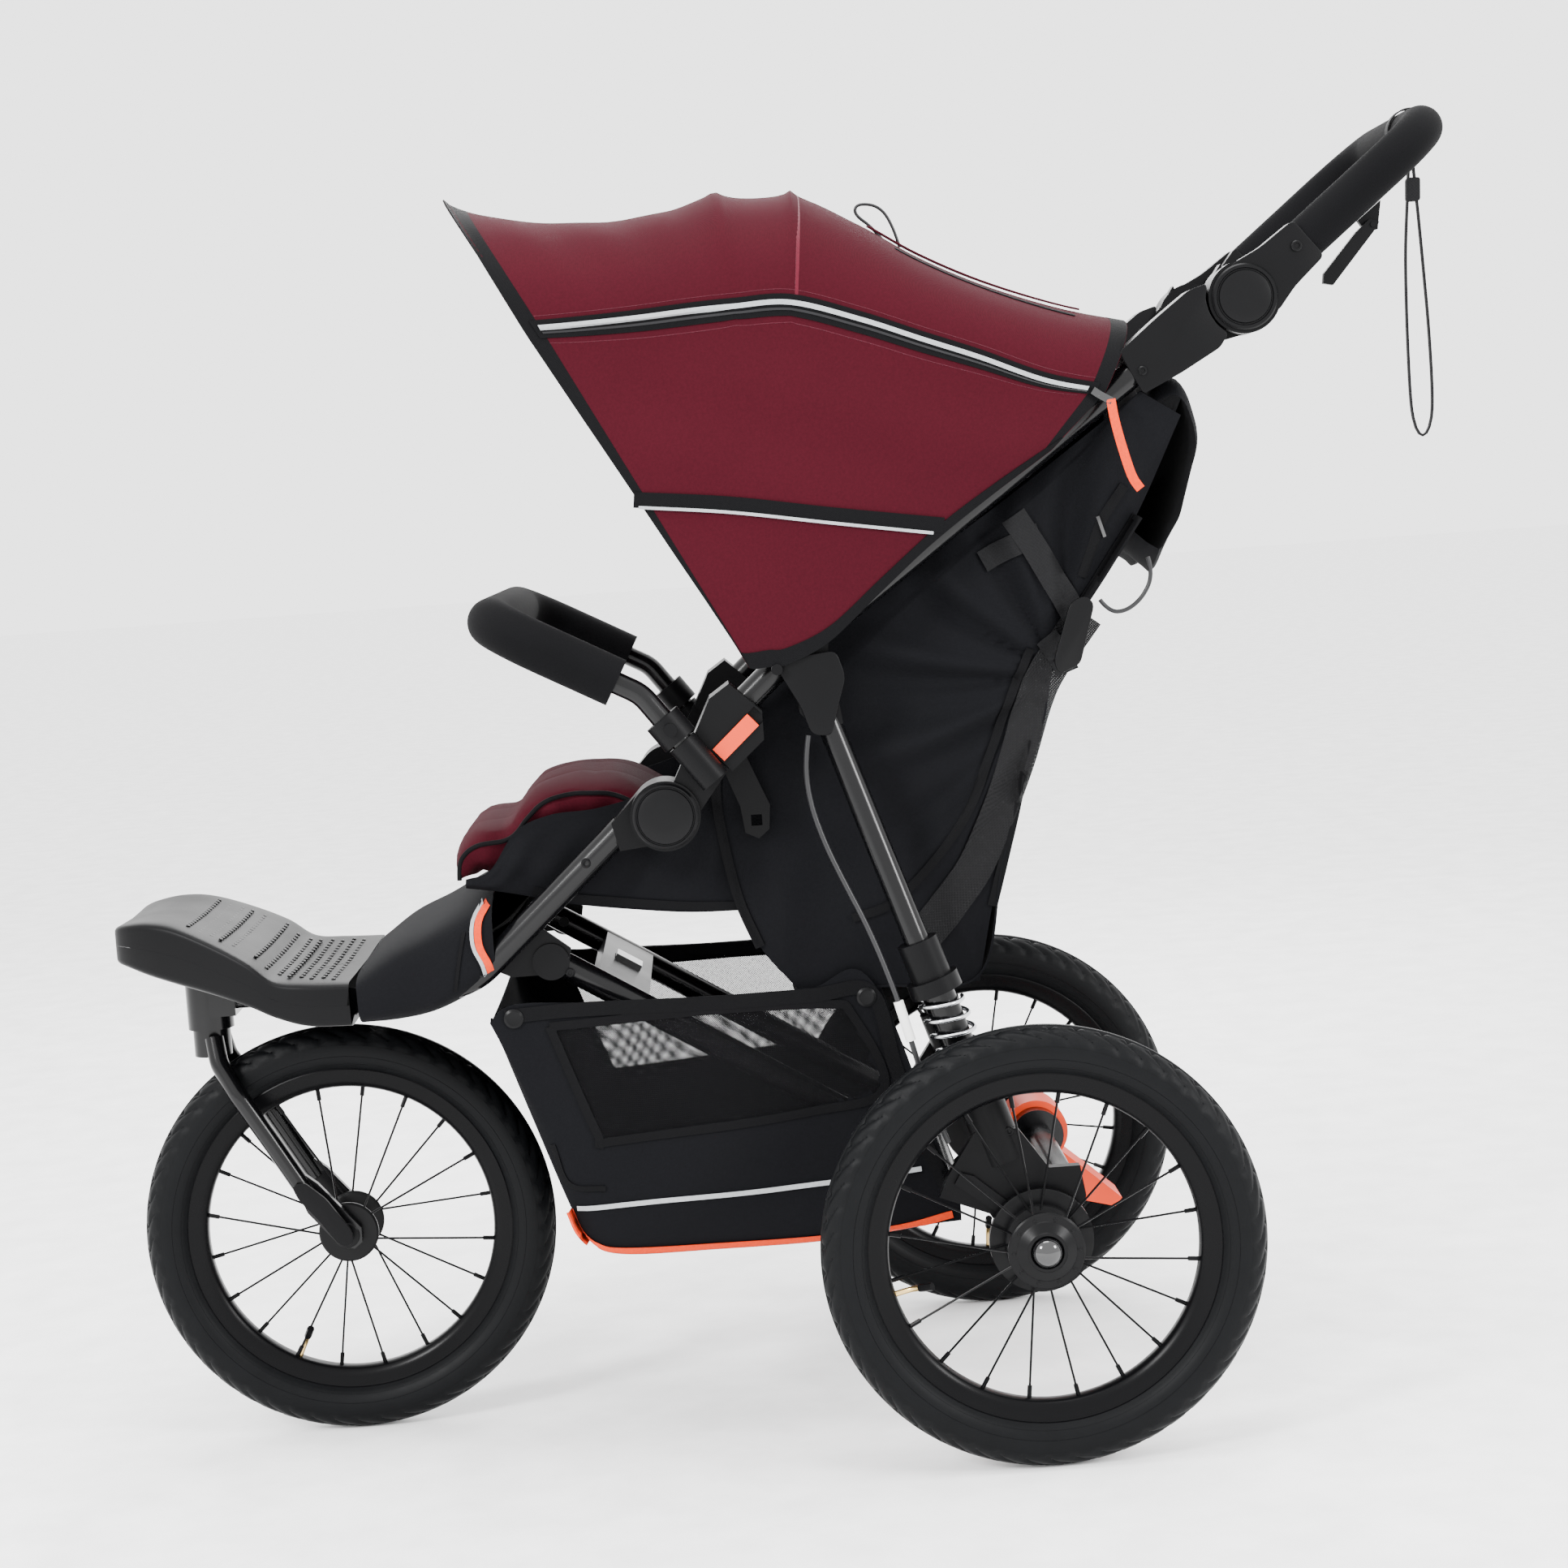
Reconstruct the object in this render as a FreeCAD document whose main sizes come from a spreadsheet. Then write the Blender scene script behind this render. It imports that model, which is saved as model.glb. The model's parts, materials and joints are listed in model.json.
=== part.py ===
"""Baby stroller: three air tyres, a sprung rear axle, a folding frame, a seat, a canopy and a basket.

Millimetres, +Z up, ground at z = 0, front towards -Y. The places below are measured from the rear
axle line; every finished node is then moved along Y so that the origin lies under the middle.
"""
import FreeCAD, Part
import math
import os
from FreeCAD import Placement, Rotation, Vector

SIZES = {
    "tyre_radius": 199.5, "tyre_section": 22.5, "tyre_wall": 4.0, "rim_radius": 159.7,
    "rim_inner": 139.0, "rim_half": 12.0, "spoke_radius": 1.6, "spoke_count": 20,
    "wheelbase": 648.0, "track_half": 280.0, "axle_radius": 6.0, "axle_fit": 0.05,
    "front_axle_radius": 5.0, "steer_trail": 119.0, "steer_radius": 22.0, "stem_radius": 10.0,
    "crown_height": 404.7, "head_top": 500.0, "fork_tube": 9.0,
    "tube_radius": 12.5, "leg_radius": 11.5, "chassis_half": 130.0,
    "pin_radius": 5.0, "pin_fit": 0.05, "fold_disc": 31.5,
    "handle_half": 145.0, "handle_disc": 33.0, "grip_radius": 20.0, "grip_reach": 432.0,
    "grip_height": 1176.0, "handle_bend": 62.0,
    "bumper_tube": 10.0, "bumper_pad": 22.0,
    "strut_radius": 15.0, "spring_radius": 21.0, "spring_wire": 2.0, "spring_pitch": 14.0,
    "seat_half": 150.0, "side_inner": 155.0, "cloth": 4.0, "basket_half": 170.0,
    "canopy_front_half": 224.0, "canopy_rear_half": 219.5, "footplate_half": 165.0,
    "drum_radius": 47.0, "beam_radius": 13.0, "brake_radius": 25.0,
}

doc = FreeCAD.newDocument("stroller")
sheet = doc.addObject("Spreadsheet::Sheet", "Sizes")
for row, (alias, value) in enumerate(SIZES.items(), start=1):
    sheet.set(f"A{row}", alias)
    sheet.set(f"B{row}", str(value))
    sheet.setAlias(f"B{row}", alias)
doc.recompute()

nodes = []


def size(alias):
    """The value of one cell of the sheet."""
    return float(sheet.get(alias))


SHIFT = (size("wheelbase") + size("tyre_radius") - size("grip_reach") - size("grip_radius")) / 2

# Places in the side view, as (y, z) from the rear axle line.
REAR_AXLE = (0.0, size("tyre_radius"))
FRONT_AXLE = (-size("wheelbase"), size("tyre_radius"))
STEER_Y = -size("wheelbase") - size("steer_trail")
FOLD_PIVOT = (-308.5, 602.0)
LEG_PIVOT = (-168.0, 722.0)
CHASSIS_FRONT = (-425.0, 467.0)
CHASSIS_REAR = (-72.0, 246.0)
HANDLE_PIVOT = (247.0, 1028.0)
CANOPY_PIVOT = (-200.0, 725.0)
BRAKE_CENTRE = (24.0, 247.0)
LEVER_PIVOT = (371.0, 1086.0)


def bind(item, prop, value):
    """Give a property a number, or tie it to the sheet when the value is an expression in aliases."""
    if isinstance(value, str):
        item.setExpression(prop, " ".join("Sizes." + w if w[0].isalpha() else w for w in value.split()))
    else:
        setattr(item, prop, value)
    return item


def rod(name, radius, length, start, direction=(1, 0, 0)):
    """A round bar from a start point along a direction."""
    item = doc.addObject("Part::Cylinder", name)
    bind(item, "Radius", radius)
    bind(item, "Height", length)
    item.Placement = Placement(Vector(*start), Rotation(Vector(0, 0, 1), Vector(*direction)))
    return item


def disc(name, radius, place, x_from, x_to):
    """A disc about a side-to-side axis at a (y, z) place."""
    return rod(name, radius, x_to - x_from, (x_from, place[0], place[1]))


def bar(name, radius, start, end):
    """A round bar between two points."""
    run = Vector(*end) - Vector(*start)
    return rod(name, radius, run.Length, start, tuple(run))


def block(name, low, high):
    """A box between two corners."""
    item = doc.addObject("Part::Box", name)
    item.Length, item.Width, item.Height = (b - a for a, b in zip(low, high))
    item.Placement.Base = Vector(*low)
    return item


def origin_plane(body, role):
    """One of a body's own origin planes or axes, by its role."""
    return next(item for item in body.Origin.OriginFeatures if item.Role == role)


def sketch_on(body, name, role, points):
    """A closed outline of straight lines on one of the body's planes."""
    sketch = body.newObject("Sketcher::SketchObject", name)
    sketch.AttachmentSupport = [(origin_plane(body, role), "")]
    sketch.MapMode = "FlatFace"
    for start, end in zip(points, points[1:] + points[:1]):
        sketch.addGeometry(Part.LineSegment(Vector(*start, 0), Vector(*end, 0)), False)
    return sketch


def slab(name, outline, x_from, x_to, role="YZ_Plane"):
    """A plate whose outline is drawn in the side view, from one x to another.

    With the XY plane, the outline is a plan view and the two limits are heights.
    """
    body = doc.addObject("PartDesign::Body", name)
    sketch = sketch_on(body, name + "_outline", role, outline)
    pad = body.newObject("PartDesign::Pad", name + "_pad")
    pad.Profile = sketch
    pad.Length = abs(x_to - x_from)
    along = Vector(0, 0, 1) if role == "XY_Plane" else Vector(1, 0, 0)
    body.Placement.Base = along * min(x_from, x_to)
    return body


def wide_slab(name, outline, half):
    """A plate in the side view, centred across the object, whose half width is an expression."""
    body = doc.addObject("PartDesign::Body", name)
    sketch = sketch_on(body, name + "_outline", "YZ_Plane", outline)
    pad = body.newObject("PartDesign::Pad", name + "_pad")
    pad.Profile = sketch
    pad.Midplane = True
    bind(pad, "Length", f"2 * ( {half} )")
    return body


def turned(name, outline):
    """A ring or hub turned about the X axis from an outline of (x, radius) points."""
    body = doc.addObject("PartDesign::Body", name)
    sketch = sketch_on(body, name + "_outline", "XZ_Plane", outline)
    turn = body.newObject("PartDesign::Revolution", name + "_turn")
    turn.Profile = sketch
    turn.ReferenceAxis = (origin_plane(body, "X_Axis"), [""])
    turn.Angle = 360.0
    return body


def fuse(name, items):
    """Several solids joined into one."""
    item = doc.addObject("Part::MultiFuse", name)
    item.Shapes = items
    return item


def cut(name, base, tools):
    """A solid with others taken out of it, one after the other."""
    for index, tool in enumerate(tools):
        item = doc.addObject("Part::Cut", f"{name}_{index}")
        item.Base, item.Tool = base, tool
        base = item
    return base


def common(name, base, tool):
    """The volume that two solids share."""
    item = doc.addObject("Part::Common", name)
    item.Base, item.Tool = base, tool
    return item


def mirrored(name, item):
    """The same piece on the other side."""
    other = doc.addObject("Part::Mirroring", name)
    other.Source = item
    other.Normal = Vector(1, 0, 0)
    return other


def group(name, items):
    """Separate solids kept in one node."""
    item = doc.addObject("Part::Compound", name)
    item.Links = items
    return item


def both_sides(name, item):
    """One node with the piece on the left and its mirror on the right."""
    return group(name, [item, mirrored(name + "_right", item)])


def left_and_right(name, item):
    """Two nodes, one for the piece on the left and one for its mirror on the right."""
    node(group(name + "_on_left", [item]), name + "_left")
    node(mirrored(name + "_on_right", item), name + "_right")


def bent_wire(points, bend):
    """Straight runs joined by tangent arcs. `bend` is one radius, or one for each inner point."""
    points = [Vector(*p) for p in points]
    bends = bend if isinstance(bend, (list, tuple)) else [bend] * (len(points) - 2)
    edges, start = [], points[0]
    for before, corner, after, radius in zip(points, points[1:], points[2:], bends):
        to_start = (before - corner).normalize()
        to_end = (after - corner).normalize()
        half = (math.pi - to_start.getAngle(to_end)) / 2
        reach = radius * math.tan(half)
        first, last = corner + to_start * reach, corner + to_end * reach
        middle = (to_start + to_end).normalize()
        top = corner + middle * (radius / math.cos(half) - radius)
        edges.append(Part.LineSegment(start, first).toShape())
        edges.append(Part.Arc(first, top, last).toShape())
        start = last
    edges.append(Part.LineSegment(start, points[-1]).toShape())
    return Part.Wire(edges)


def bent_tube(name, radius, points, bend):
    """A round tube along straight runs and tangent arcs."""
    spine = doc.addObject("Part::Feature", name + "_spine")
    spine.Shape = bent_wire(points, bend)
    ring = doc.addObject("Part::Circle", name + "_ring")
    bind(ring, "Radius", radius)
    run = Vector(*points[1]) - Vector(*points[0])
    ring.Placement = Placement(Vector(*points[0]), Rotation(Vector(0, 0, 1), run))
    tube = doc.addObject("Part::Sweep", name)
    tube.Sections = [ring]
    tube.Spine = (spine, [f"Edge{n + 1}" for n in range(len(spine.Shape.Edges))])
    tube.Solid = True
    tube.Frenet = False
    return tube


def node(item, name):
    """Name a finished sub-part and move it to the object's own origin."""
    item.Label = name
    item.Placement = Placement(Vector(0, SHIFT, 0), Rotation()) * item.Placement
    nodes.append(item)
    return item


def along(start, end, length):
    """The point at a distance from a start towards an end, in the side view."""
    run = math.dist(start, end)
    return tuple(a + (b - a) * length / run for a, b in zip(start, end))


def strip(centre, direction, low, high, side_low, side_high):
    """A rectangle in the side view, laid along a direction through a centre."""
    length = math.hypot(*direction)
    u = (direction[0] / length, direction[1] / length)
    corners = [(low, side_low), (high, side_low), (high, side_high), (low, side_high)]
    return [(centre[0] + a * u[0] - b * u[1], centre[1] + a * u[1] + b * u[0]) for a, b in corners]


def turned_about(centre, radius, degrees):
    """The side-view point at a radius and angle from a centre; 0 is rearwards, 90 is up."""
    angle = math.radians(degrees)
    return (centre[0] + radius * math.cos(angle), centre[1] + radius * math.sin(angle))


# ---- Wheels ---------------------------------------------------------------------------------

HUB_BARREL = 19.9


def tyre(name):
    """An open C section whose beads sit over the rim's edges."""
    outer, wall = size("tyre_section"), size("tyre_wall")
    crown = size("tyre_radius") - outer
    bead = math.degrees(math.acos(17.0 / outer))
    steps = 16
    angles = [-90 + bead + (360 - 2 * bead) * n / steps for n in range(steps + 1)]
    ring = [turned_about((0, crown), outer, a) for a in angles]
    inner = [turned_about((0, crown), outer - wall, a) for a in reversed(angles[1:-1])]
    return turned(name, ring + inner)


def rim_ring(name):
    """A U-shaped rim."""
    edge, floor, half = size("rim_radius"), size("rim_inner"), size("rim_half")
    outline = [(-half, edge), (-half, edge - 9), (-7, floor), (7, floor), (half, edge - 9), (half, edge),
               (half - 2, edge), (half - 2, edge - 8), (5.5, floor + 2), (-5.5, floor + 2),
               (2 - half, edge - 8), (2 - half, edge)]
    return turned(name, outline)


def spoke_set(name):
    """Straight spokes from the hub's barrel to the rim's floor."""
    count = int(size("spoke_count"))
    spokes = []
    for index in range(count):
        angle = 2 * math.pi * index / count
        out = (0, math.cos(angle), math.sin(angle))
        start = (0, HUB_BARREL * out[1], HUB_BARREL * out[2])
        spokes.append(rod(f"{name}_{index}", "spoke_radius", size("rim_inner") - HUB_BARREL, start, out))
    return group(name, spokes)


def set_at(item, x, place):
    """Move a wheel part from its own centre to its axle."""
    item.Placement = Placement(Vector(x, place[0], place[1]), Rotation())
    return item


def rear_wheel(side):
    """One rear wheel: tyre, spoked rim, hub with brake drum, and its release button."""
    sign = 1 if side == "left" else -1
    bore = size("axle_radius") + size("axle_fit")
    drum, centre = size("drum_radius"), size("track_half") * sign
    outline = [(-24, bore), (-24, 13), (-27, 13), (-27, drum), (-17, drum), (-17, HUB_BARREL), (18, HUB_BARREL),
               (18, 33), (21, 33), (21, 15), (26, 15), (26, 10.06), (16, 10.06), (16, bore)]
    outline = [(x * sign, r) for x, r in outline]
    parts = [tyre(f"rear_{side}_tyre_body"), rim_ring(f"rear_{side}_rim_body"),
             spoke_set(f"rear_{side}_spoke"), turned(f"rear_{side}_hub_body", outline)]
    for item, word in zip(parts, ("tyre", "rim", "spokes", "hub")):
        node(set_at(item, centre, REAR_AXLE), f"rear_{side}_{word}")
    cap = rod(f"hub_button_{side}_body", 10, 15, (301 * sign, *REAR_AXLE), (sign, 0, 0))
    node(cap, f"hub_button_{side}")


for wheel_side in ("left", "right"):
    rear_wheel(wheel_side)

front_bore = size("front_axle_radius") + size("axle_fit")
FRONT_HUB = [(-31, front_bore), (-31, 11), (-27, 11), (-27, 29), (-24, 29), (-20, HUB_BARREL), (20, HUB_BARREL),
             (24, 29), (27, 29), (27, 11), (31, 11), (31, front_bore)]
node(set_at(tyre("front_tyre_body"), 0, FRONT_AXLE), "front_tyre")
node(set_at(rim_ring("front_rim_body"), 0, FRONT_AXLE), "front_rim")
node(set_at(spoke_set("front_spoke"), 0, FRONT_AXLE), "front_spokes")
node(set_at(turned("front_hub_body", FRONT_HUB), 0, FRONT_AXLE), "front_hub")

# ---- Front fork: crown and stem, two bent blades, dropouts and the axle ---------------------------

FORK_ROUTE = [(20, -762, 398), (28, -758, 374), (38, -740, 342), (39, -713, 296), (39, -683, 243)]
blade = bent_tube("fork_blade", "fork_tube", FORK_ROUTE, 30)
dropout = slab("fork_dropout", [(-694, 250), (-684, 262), (-672, 252), (-634, 206), (-634, 192),
                                (-642, 186), (-656, 190), (-684, 224)], 33, 40)
blade_side = fuse("fork_side", [blade, dropout])
crown = rod("fork_crown", 18, 26, (0, STEER_Y, size("crown_height") - 26), (0, 0, 1))
stem = rod("fork_stem", "stem_radius", 50, (0, STEER_Y, size("crown_height") - 1), (0, 0, 1))
front_axle = rod("fork_axle", "front_axle_radius", 89, (-42, *FRONT_AXLE))
fork = fuse("fork_body", [crown, stem, blade_side, mirrored("fork_side_right", blade_side), front_axle])
node(fork, "fork")

RELEASE_LINE = (-0.639, 0.769)
release_cam = rod("release_cam", 3.6, 18, (51.2, FRONT_AXLE[0] - 6.9, FRONT_AXLE[1] - 5.8), (0, 0.769, 0.639))
release_blade = slab("release_blade", strip(FRONT_AXLE, RELEASE_LINE, 0, 68, -7, 7), 49, 54.5)
node(fuse("front_release_body", [release_cam, release_blade]), "front_quick_release")

# ---- Steering head, front side tubes, lower sockets -----------------------------------------------

head_top = size("head_top")
head = rod("head_tube", "steer_radius", head_top - 405.3, (0, STEER_Y, 405.3), (0, 0, 1))
head_block = block("head_block", (-58, -758, 424), (58, -733, 458))
stem_bore = rod("head_bore", "stem_radius + axle_fit", 60, (0, STEER_Y, 400), (0, 0, 1))
node(cut("head_body", fuse("head_solid", [head, head_block]), [stem_bore]), "steering_head")

FRONT_TUBE = [(187, -348, 591), (166, -497, 456), (138, -607, 441), (42, -696, 441), (42, -733, 441)]
node(both_sides("front_tubes_pair", bent_tube("front_tube", "tube_radius", FRONT_TUBE, [70, 60, 60])),
     "front_side_tubes")

socket_arm = slab("socket_arm", [(-476, 462), (-462, 455), (-410, 455), (-406, 478), (-448, 512)], 144, 149)
socket_boss = disc("socket_boss", 17, CHASSIS_FRONT, 144, 152)
socket_pin = disc("socket_pin", "pin_radius", CHASSIS_FRONT, 116, 146)
node(both_sides("sockets_pair", fuse("socket_left", [socket_arm, socket_boss, socket_pin])),
     "chassis_tube_sockets")

# ---- Fold joints: a disc on the front tube, a disc on the upper tube, one pin ----------------------

FOLD_OUTER, FOLD_MIDDLE, FOLD_INNER = 232.0, 207.0, 178.0
fold_disc_inner = disc("fold_disc_inner", "fold_disc", FOLD_PIVOT, FOLD_INNER, FOLD_MIDDLE)
fold_arm = slab("fold_arm", [(-352, 571), (-300, 576), (-300, 612), (-318, 630), (-330, 625), (-358, 596)],
                FOLD_INNER, FOLD_MIDDLE)
fold_pin = disc("fold_pin", "pin_radius", FOLD_PIVOT, FOLD_MIDDLE - 1, FOLD_OUTER + 2)
fold_tube_room = bar("fold_tube_room", "tube_radius", (187, -348, 591), (166, -497, 456))
fold_lower = cut("fold_lower", fuse("fold_lower_solid", [fold_disc_inner, fold_arm, fold_pin]),
                 [fold_tube_room])
node(both_sides("fold_lower_pair", fold_lower), "fold_joint_housings")

UPPER_START, UPPER_BEND, UPPER_END = (-268.0, 664.0), (-190.0, 733.0), (212.0, 1015.0)
UPPER_TUBE = [(195, *UPPER_START), (195, *UPPER_BEND), (145, *UPPER_END)]
upper_tube = bent_tube("upper_tube", "tube_radius", UPPER_TUBE, 150)
node(both_sides("upper_tubes_pair", upper_tube), "upper_side_tubes")

fold_disc_outer = disc("fold_disc_outer", "fold_disc", FOLD_PIVOT, FOLD_MIDDLE + 0.5, FOLD_OUTER)
fold_web = slab("fold_web", [(-300, 630), (-280, 600), (-249, 640), (-278.6, 671.6)],
                FOLD_MIDDLE + 0.5, 226.5)
fold_hole = disc("fold_hole", "pin_radius + pin_fit", FOLD_PIVOT, FOLD_MIDDLE - 4, FOLD_OUTER + 4)
fold_upper = cut("fold_upper", fuse("fold_upper_solid", [fold_disc_outer, fold_web]), [fold_hole])
node(both_sides("fold_upper_pair", fold_upper), "fold_joint_covers")

# ---- Adapter blocks with the bumper sockets, their sliders, the fold hook -------------------------

adapter_outline = [(-278, 672), (-246, 638), (-216, 664), (-216, 690), (-244, 716), (-262, 704)]
adapter_block = slab("adapter_block", adapter_outline, 178, FOLD_OUTER)
adapter_tube = bar("adapter_tube", "tube_radius", (195, *UPPER_START), (195, *UPPER_BEND))
adapter_tube_end = bar("adapter_tube_end", "tube_radius", (195, *UPPER_BEND), (145, *UPPER_END))
SLIDER_PLACE, SLIDER_LINE = (-241.0, 668.0), (0.746, 0.666)
slider_slot = slab("slider_slot", strip(SLIDER_PLACE, SLIDER_LINE, -22.5, 31, -7.6, 7.6), 226, 240)
STEM_LOW, BUMPER_ELBOW, BUMPER_FRONT = (-266.0, 637.0), (-322.0, 713.0), (-452.0, 784.0)
STEM_TOP = along(STEM_LOW, BUMPER_ELBOW, 76)
socket = bar("bumper_socket", 14, (241, -262, 632), (241, -289, 668))
socket_hole = bar("bumper_socket_hole", "bumper_tube + pin_fit", (241, *along(STEM_LOW, STEM_TOP, -9)),
                  (241, *STEM_TOP))
adapter = cut("adapter", fuse("adapter_solid", [adapter_block, socket]),
              [adapter_tube, adapter_tube_end, slider_slot, socket_hole])

adapter_slider = slab("slider_plate", strip(SLIDER_PLACE, SLIDER_LINE, -22, 22, -7.25, 7.25), 226.3, 235)
left_and_right("adapter_slider", adapter_slider)

HOOK_PIVOT = (-243.0, 648.0)
hook_outline = [turned_about(HOOK_PIVOT, 12, a) for a in (200, 140, 90, 40, 340)]
hook_outline += [(-214, 600), (-216, 578), (-226, 570), (-238, 576), (-241, 600), (-252, 630)]
hook_hole = disc("hook_hole", 4.05, HOOK_PIVOT, 168, 180)
hook_slot = slab("hook_slot", [(-232, 582), (-222, 582), (-222, 592), (-232, 592)], 168, 180)
node(cut("hook", slab("hook_plate", hook_outline, 171, 176.5), [hook_hole, hook_slot]), "fold_hook")
hook_rivet = fuse("hook_rivet", [disc("hook_rivet_shank", 4, HOOK_PIVOT, 169, 178),
                                 disc("hook_rivet_top", 7, HOOK_PIVOT, 167, 170.6)])
node(group("adapters_and_rivet", [both_sides("adapters_pair", adapter), hook_rivet]), "adapter_blocks")

# ---- Bumper bar: two stems, a bent bar, its foam and two release collars ---------------------------

stem_line = [(241, *STEM_LOW), (241, *BUMPER_ELBOW), (241, *BUMPER_FRONT)]
bumper_line = stem_line + [(-x, y, z) for x, y, z in reversed(stem_line)]
node(bent_tube("bumper", "bumper_tube", bumper_line, [40, 55, 55, 40]), "bumper_bar")
pad_line = [(241, *along(BUMPER_ELBOW, BUMPER_FRONT, 24)), (241, *BUMPER_FRONT)]
pad_line += [(-x, y, z) for x, y, z in reversed(pad_line)]
bumper_foam = bent_tube("bumper_foam", "bumper_pad", pad_line, 55)
foam_room = bent_tube("bumper_foam_room", "bumper_tube", pad_line, 55)
node(cut("bumper_foam_ring", bumper_foam, [foam_room]), "bumper_pad")

COLLAR_LOW, COLLAR_TOP = along(STEM_LOW, STEM_TOP, 41), along(STEM_LOW, STEM_TOP, 66)
BUTTON_PLACE = along(STEM_LOW, STEM_TOP, 54)
collar = cut("bumper_collar", bar("bumper_collar_solid", 17, (241, *COLLAR_LOW), (241, *COLLAR_TOP)),
             [bar("bumper_collar_bore", "bumper_tube", (241, *STEM_LOW), (241, *STEM_TOP)),
              disc("bumper_button_bore", 6.05, BUTTON_PLACE, 251.5, 264)])
node(both_sides("bumper_collars_pair", collar), "bumper_collars")
left_and_right("bumper_button", disc("button_disc", 6, BUTTON_PLACE, 254, 260.5))

# ---- Handle: tilt joints, bent tube, foam, brake lever, wrist strap -------------------------------

HANDLE_CORNER = (size("grip_reach"), size("grip_height"))
half = size("handle_half")
joint_disc = disc("joint_disc", "handle_disc", HANDLE_PIVOT, half - 20, half)
joint_arm = bar("joint_arm", 17, (half, *along(UPPER_BEND, UPPER_END, 424)),
                (half, *along(UPPER_BEND, UPPER_END, 482)))
joint_web = slab("joint_web", [(192, 1006), (206, 986), (252, 996), (230, 1060)], half - 17, half)
joint_pin = disc("joint_pin", "pin_radius", HANDLE_PIVOT, half - 1, half + 20)
upper_room = bent_tube("upper_tube_room", "tube_radius", UPPER_TUBE, 150)
joint_clear = disc("joint_clear", "handle_disc + 1", HANDLE_PIVOT, half + 0.4, half + 30)
joint_lower_solid = fuse("joint_lower_solid", [cut("joint_arm_cut", joint_arm, [joint_clear]), joint_disc,
                                               joint_web, joint_pin])
node(both_sides("joints_lower_pair", cut("joint_lower", joint_lower_solid, [upper_room])),
     "handle_joint_bases")

ARM_START, SOCKET_END = along(HANDLE_PIVOT, HANDLE_CORNER, 44), along(HANDLE_PIVOT, HANDLE_CORNER, 72)
upper_disc = disc("upper_disc", "handle_disc", HANDLE_PIVOT, half + 0.5, half + 20)
upper_web = slab("upper_web", [(252, 1052), (268, 1028), (303, 1056), (288, 1078)], half + 0.5, half + 16)
upper_socket = bar("upper_socket", 17, (half, *along(HANDLE_PIVOT, HANDLE_CORNER, 36)), (half, *SOCKET_END))
upper_hole = disc("upper_hole", "pin_radius + pin_fit", HANDLE_PIVOT, half - 2, half + 24)
arm_room = bar("arm_room", "tube_radius", (half, *ARM_START), (half, *HANDLE_CORNER))
joint_upper = cut("joint_upper", fuse("joint_upper_solid", [upper_disc, upper_web, upper_socket]),
                  [upper_hole, arm_room])
node(both_sides("joints_upper_pair", joint_upper), "handle_joint_covers")


def handle_route(start):
    """The handle's centre line from a start on the left arm to the same place on the right."""
    left = [(half, *along(HANDLE_PIVOT, HANDLE_CORNER, start)), (half, *HANDLE_CORNER)]
    return left + [(-x, y, z) for x, y, z in reversed(left)]


bend = size("handle_bend")
node(bent_tube("handle_bar", "tube_radius", handle_route(44), bend), "handle_tube")
grip_room = bent_tube("grip_room", "tube_radius", handle_route(74), bend)
node(cut("grip", bent_tube("grip_solid", "grip_radius", handle_route(74), bend), [grip_room]), "handle_grip")

lever_bracket = slab("lever_bracket", [(366, 1080), (377, 1082), (381, 1108), (359, 1091)], 131, 138)
lever_pin = disc("lever_pin", 2.5, LEVER_PIVOT, 137, 147)
node(fuse("lever_bracket_body", [lever_bracket, lever_pin]), "brake_lever_bracket")
lever_plate = slab("lever_plate", [(377, 1088), (371, 1079), (332, 1034), (323, 1036), (324, 1045),
                                   (355, 1080), (368, 1091)], 138.4, 145.5)
node(cut("lever", lever_plate, [disc("lever_hole", 2.55, LEVER_PIVOT, 136, 150)]), "hand_brake_lever")

strap_outer = slab("strap_outer", [(427, 1155.6), (437, 1155.6), (436, 1082), (442, 900), (436, 890),
                                   (424, 890), (418, 900), (426, 1082)], 47, 53)
strap_inner = slab("strap_inner", [(429, 1153), (435, 1153), (434, 1082), (440, 902), (435, 892),
                                   (425, 892), (420, 902), (428, 1082)], 45, 55)
node(cut("strap", strap_outer, [strap_inner]), "wrist_strap")

# ---- Rear legs: pivots, brackets, tubes, struts, springs and the brake cable -----------------------

STRUT_X = 232.0


def leg_at(height, x=STRUT_X):
    """The point of the leg's centre line at a height."""
    return (x, -80.0 + (436.0 - height) * 0.3214, height)


leg_route = [leg_at(694, 203), leg_at(470), leg_at(427)]
leg_tube = bent_tube("leg_tube", "leg_radius", leg_route, 150)
strut = bar("strut", "strut_radius", leg_at(426), leg_at(322))
node(both_sides("legs_pair", fuse("leg", [leg_tube, strut])), "rear_leg_tubes")

plate_outline = [turned_about(LEG_PIVOT, 15, a) for a in (200, 150, 100, 50, 0, -40)]
plate_outline += [(-146, 690), (-144, 672), (-168, 668), (-182, 684)]
bracket_plates = [slab("bracket_plate_out", plate_outline, 209.5, 214),
                  slab("bracket_plate_in", plate_outline, 177, 181.3),
                  slab("bracket_bridge", [(-182, 684), (-174, 697), (-149, 697), (-144, 672), (-168, 668)],
                       179, 212),
                  disc("bracket_pin", "pin_radius", LEG_PIVOT, 179, 212)]
bracket = cut("leg_bracket", fuse("leg_bracket_solid", bracket_plates),
              [leg_tube])
node(both_sides("leg_brackets_pair", bracket), "rear_leg_brackets")

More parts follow.
